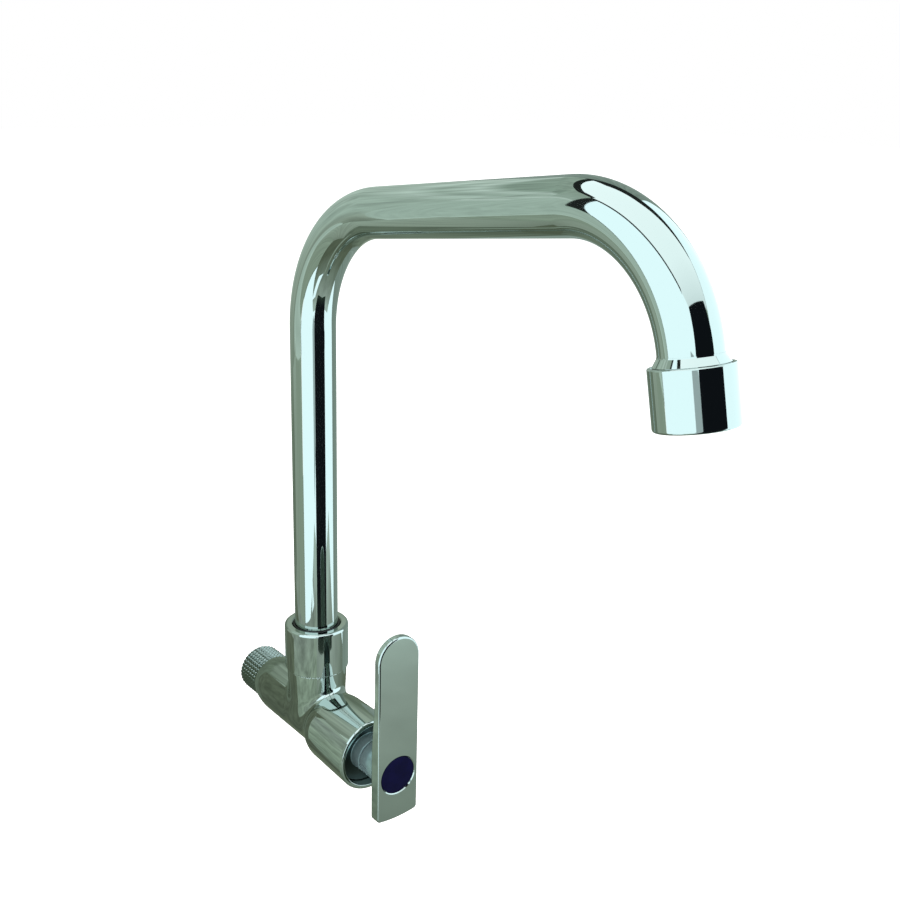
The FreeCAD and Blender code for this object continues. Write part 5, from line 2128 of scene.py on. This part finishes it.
FLOOR_AND_NEAR = (
    sheet(
        "floor_sheet",
        (-0.6, 0.7, 0.3),
        (-0.6, 0.7, -0.42),
        LOWER_SHEET,
        ((0.0, "465242"), (0.42, "4E5B4A"), (0.62, "66776A"), (0.80, "7F9186"), (0.9, "94ABA0")),
        0.15,
        (18.0, 9.0),
    ),
    sheet("left_floor", (-0.17, -0.09, -0.13), (-0.30, -0.20, -0.27), UPPER_SHEET, WINDOW),
    sheet("bright_floor", (-0.4, 0.6, -0.42), (-0.4, 0.6, -1.2), LOWER_SHEET, WINDOW),
    Card(
        "dark_floor_left",
        (
            (-0.125, -0.272, UPPER_SHEET),
            (0.0, -0.306, UPPER_SHEET),
            (0.0, -1.06, UPPER_SHEET),
            (-0.53, -1.06, UPPER_SHEET),
        ),
        DARK_FLOOR,
    ),
    Card(
        "dark_floor_right",
        (
            (0.0, -0.306, UPPER_SHEET),
            (0.10, -0.283, UPPER_SHEET),
            (0.50, -1.06, UPPER_SHEET),
            (0.0, -1.06, UPPER_SHEET),
        ),
        DARK_FLOOR,
    ),
    # Two boards close to the body's left side keep the bright window out of its lower half.
    wall(
        "dark_board",
        (-0.030, -0.028, -0.07, 0.030),
        (-0.030, 0.05, -0.07, 0.030),
        ((0.0, "3F4A3E"), (1.0, "525F4E")),
        0.3,
        (9.0, 9.0),
    ),
    wall(
        "olive_board",
        (-0.045, -0.105, FLOOR, 0.028),
        (-0.045, 0.085, FLOOR, 0.028),
        ((0.0, "4A584A"), (0.3, "5A6A5A"), (0.445, "647768"), (0.734, "7A8F7D"), (1.0, "738379")),
        0.35,
        (11.0, 16.0),
    ),
)


@dataclass(frozen=True)
class Lamp:
    """A square area lamp that points at the tap and stays out of reflections.

    Attributes:
        name: Its name.
        place: Its place, in metres.
        power: Its power, in watts.
        size: Its edge, in metres.
        target: The place that it points at, in metres.
    """

    name: str
    place: Point
    power: float
    size: float = 0.6
    target: Point = (0.0, -0.1, 0.1)

    def build(self) -> None:
        """Makes the lamp."""
        data = bpy.data.lights.new(self.name, "AREA")
        data.size = self.size
        data.energy = self.power
        lamp = bpy.data.objects.new(self.name, data)
        aim = Vector(self.target) - Vector(self.place)
        turn = aim.to_track_quat("-Z", "Y").to_matrix().to_4x4()
        lamp.matrix_world = Matrix.Translation(Vector(self.place)) @ turn
        lamp.visible_glossy = False
        lamp.visible_camera = False
        bpy.context.scene.collection.objects.link(lamp)


@dataclass(frozen=True)
class Studio:
    """Pale floor, bright room and the boards that the chrome mirrors.

    Attributes:
        cards: The boards.
        lamps: The lamps.
        floor_reach: Distance from the origin to the floor's edges, in metres.
        floor_paint: Colour of the floor, in sRGB hex.
        floor_glow: Light that the floor gives of itself, so that it stays white round the shadow.
        room_tone: Colour that reflections see beyond the boards.
        white: Colour of the backdrop that the camera sees, and of the floor's glow.
    """

    cards: tuple[Card, ...] = LEFT_WINDOW + FRONT_AND_RIGHT + BACK_AND_CEILING + FLOOR_AND_NEAR
    lamps: tuple[Lamp, ...] = (
        Lamp("key_lamp", (-0.5, -0.7, 0.9), 6.0),
        Lamp("fill_lamp", (0.6, -0.5, 0.8), 4.0),
    )
    floor_reach: float = 6.0
    floor_paint: str = "E7E7E7"
    floor_glow: float = 0.6
    room_tone: str = "B3CBBC"
    white: str = "FFFFFF"

    def build(self) -> None:
        """Makes boards, floor, world and lamps."""
        for card in self.cards:
            card.build()
        self.add_floor()
        self.add_world()
        for lamp in self.lamps:
            lamp.build()

    def add_floor(self) -> None:
        """Makes the white floor, painted and lit a little from itself."""
        mesh = bpy.data.meshes.new("studio_floor")
        reach = self.floor_reach
        plan = ((-reach, -reach), (reach, -reach), (reach, reach), (-reach, reach))
        mesh.from_pydata([(x, y, FLOOR) for x, y in plan], [], [(0, 1, 2, 3)])
        material, tree, _ = new_material("studio_floor")
        paint = add_node(tree, "BsdfDiffuse", {"Color": linear(self.floor_paint)})
        glow = add_node(tree, "Emission", {"Color": linear(self.white), "Strength": self.floor_glow})
        both = add_node(tree, "AddShader", {0: paint.outputs["BSDF"], 1: glow.outputs["Emission"]})
        close_material(tree, both.outputs["Shader"])
        mesh.materials.append(material)
        floor = bpy.data.objects.new("studio_floor", mesh)
        bpy.context.scene.collection.objects.link(floor)

    def add_world(self) -> None:
        """Makes the room: grey-green to reflections and white to everything else."""
        world = bpy.data.worlds.new("studio_room")
        world.use_nodes = True
        tree = world.node_tree
        tree.nodes.clear()
        path = add_node(tree, "LightPath")
        white = add_node(tree, "Background", {"Color": linear(self.white), "Strength": 1.0})
        room = add_node(tree, "Background", {"Color": linear(self.room_tone), "Strength": 1.0})
        both = {1: white.outputs["Background"], 2: room.outputs["Background"]}
        mixed = add_node(tree, "MixShader", {0: path.outputs["Is Glossy Ray"], **both})
        add_node(tree, "OutputWorld", {"Surface": mixed.outputs["Shader"]})
        bpy.context.scene.world = world


def main() -> None:
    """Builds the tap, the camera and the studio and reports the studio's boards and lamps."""
    logging.basicConfig(level=logging.INFO, format="%(name)s: %(message)s")
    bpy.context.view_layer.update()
    finishes = Finishes.make()
    dress_solids(finishes)
    tap = (TapBody(), Bonnet(), SwivelNut(), SpoutTube(), Nozzle(), Lever(), IndicatorDisc())
    for sub_assembly in tap:
        for piece in sub_assembly.build(finishes):
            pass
    PhotoCamera().build()
    studio = Studio()
    studio.build()
    log.info("studio: %d boards, %d lamps", len(studio.cards), len(studio.lamps))
    bpy.context.scene.view_settings.view_transform = "Standard"
    bpy.context.view_layer.update()


if __name__ == "__main__":
    main()
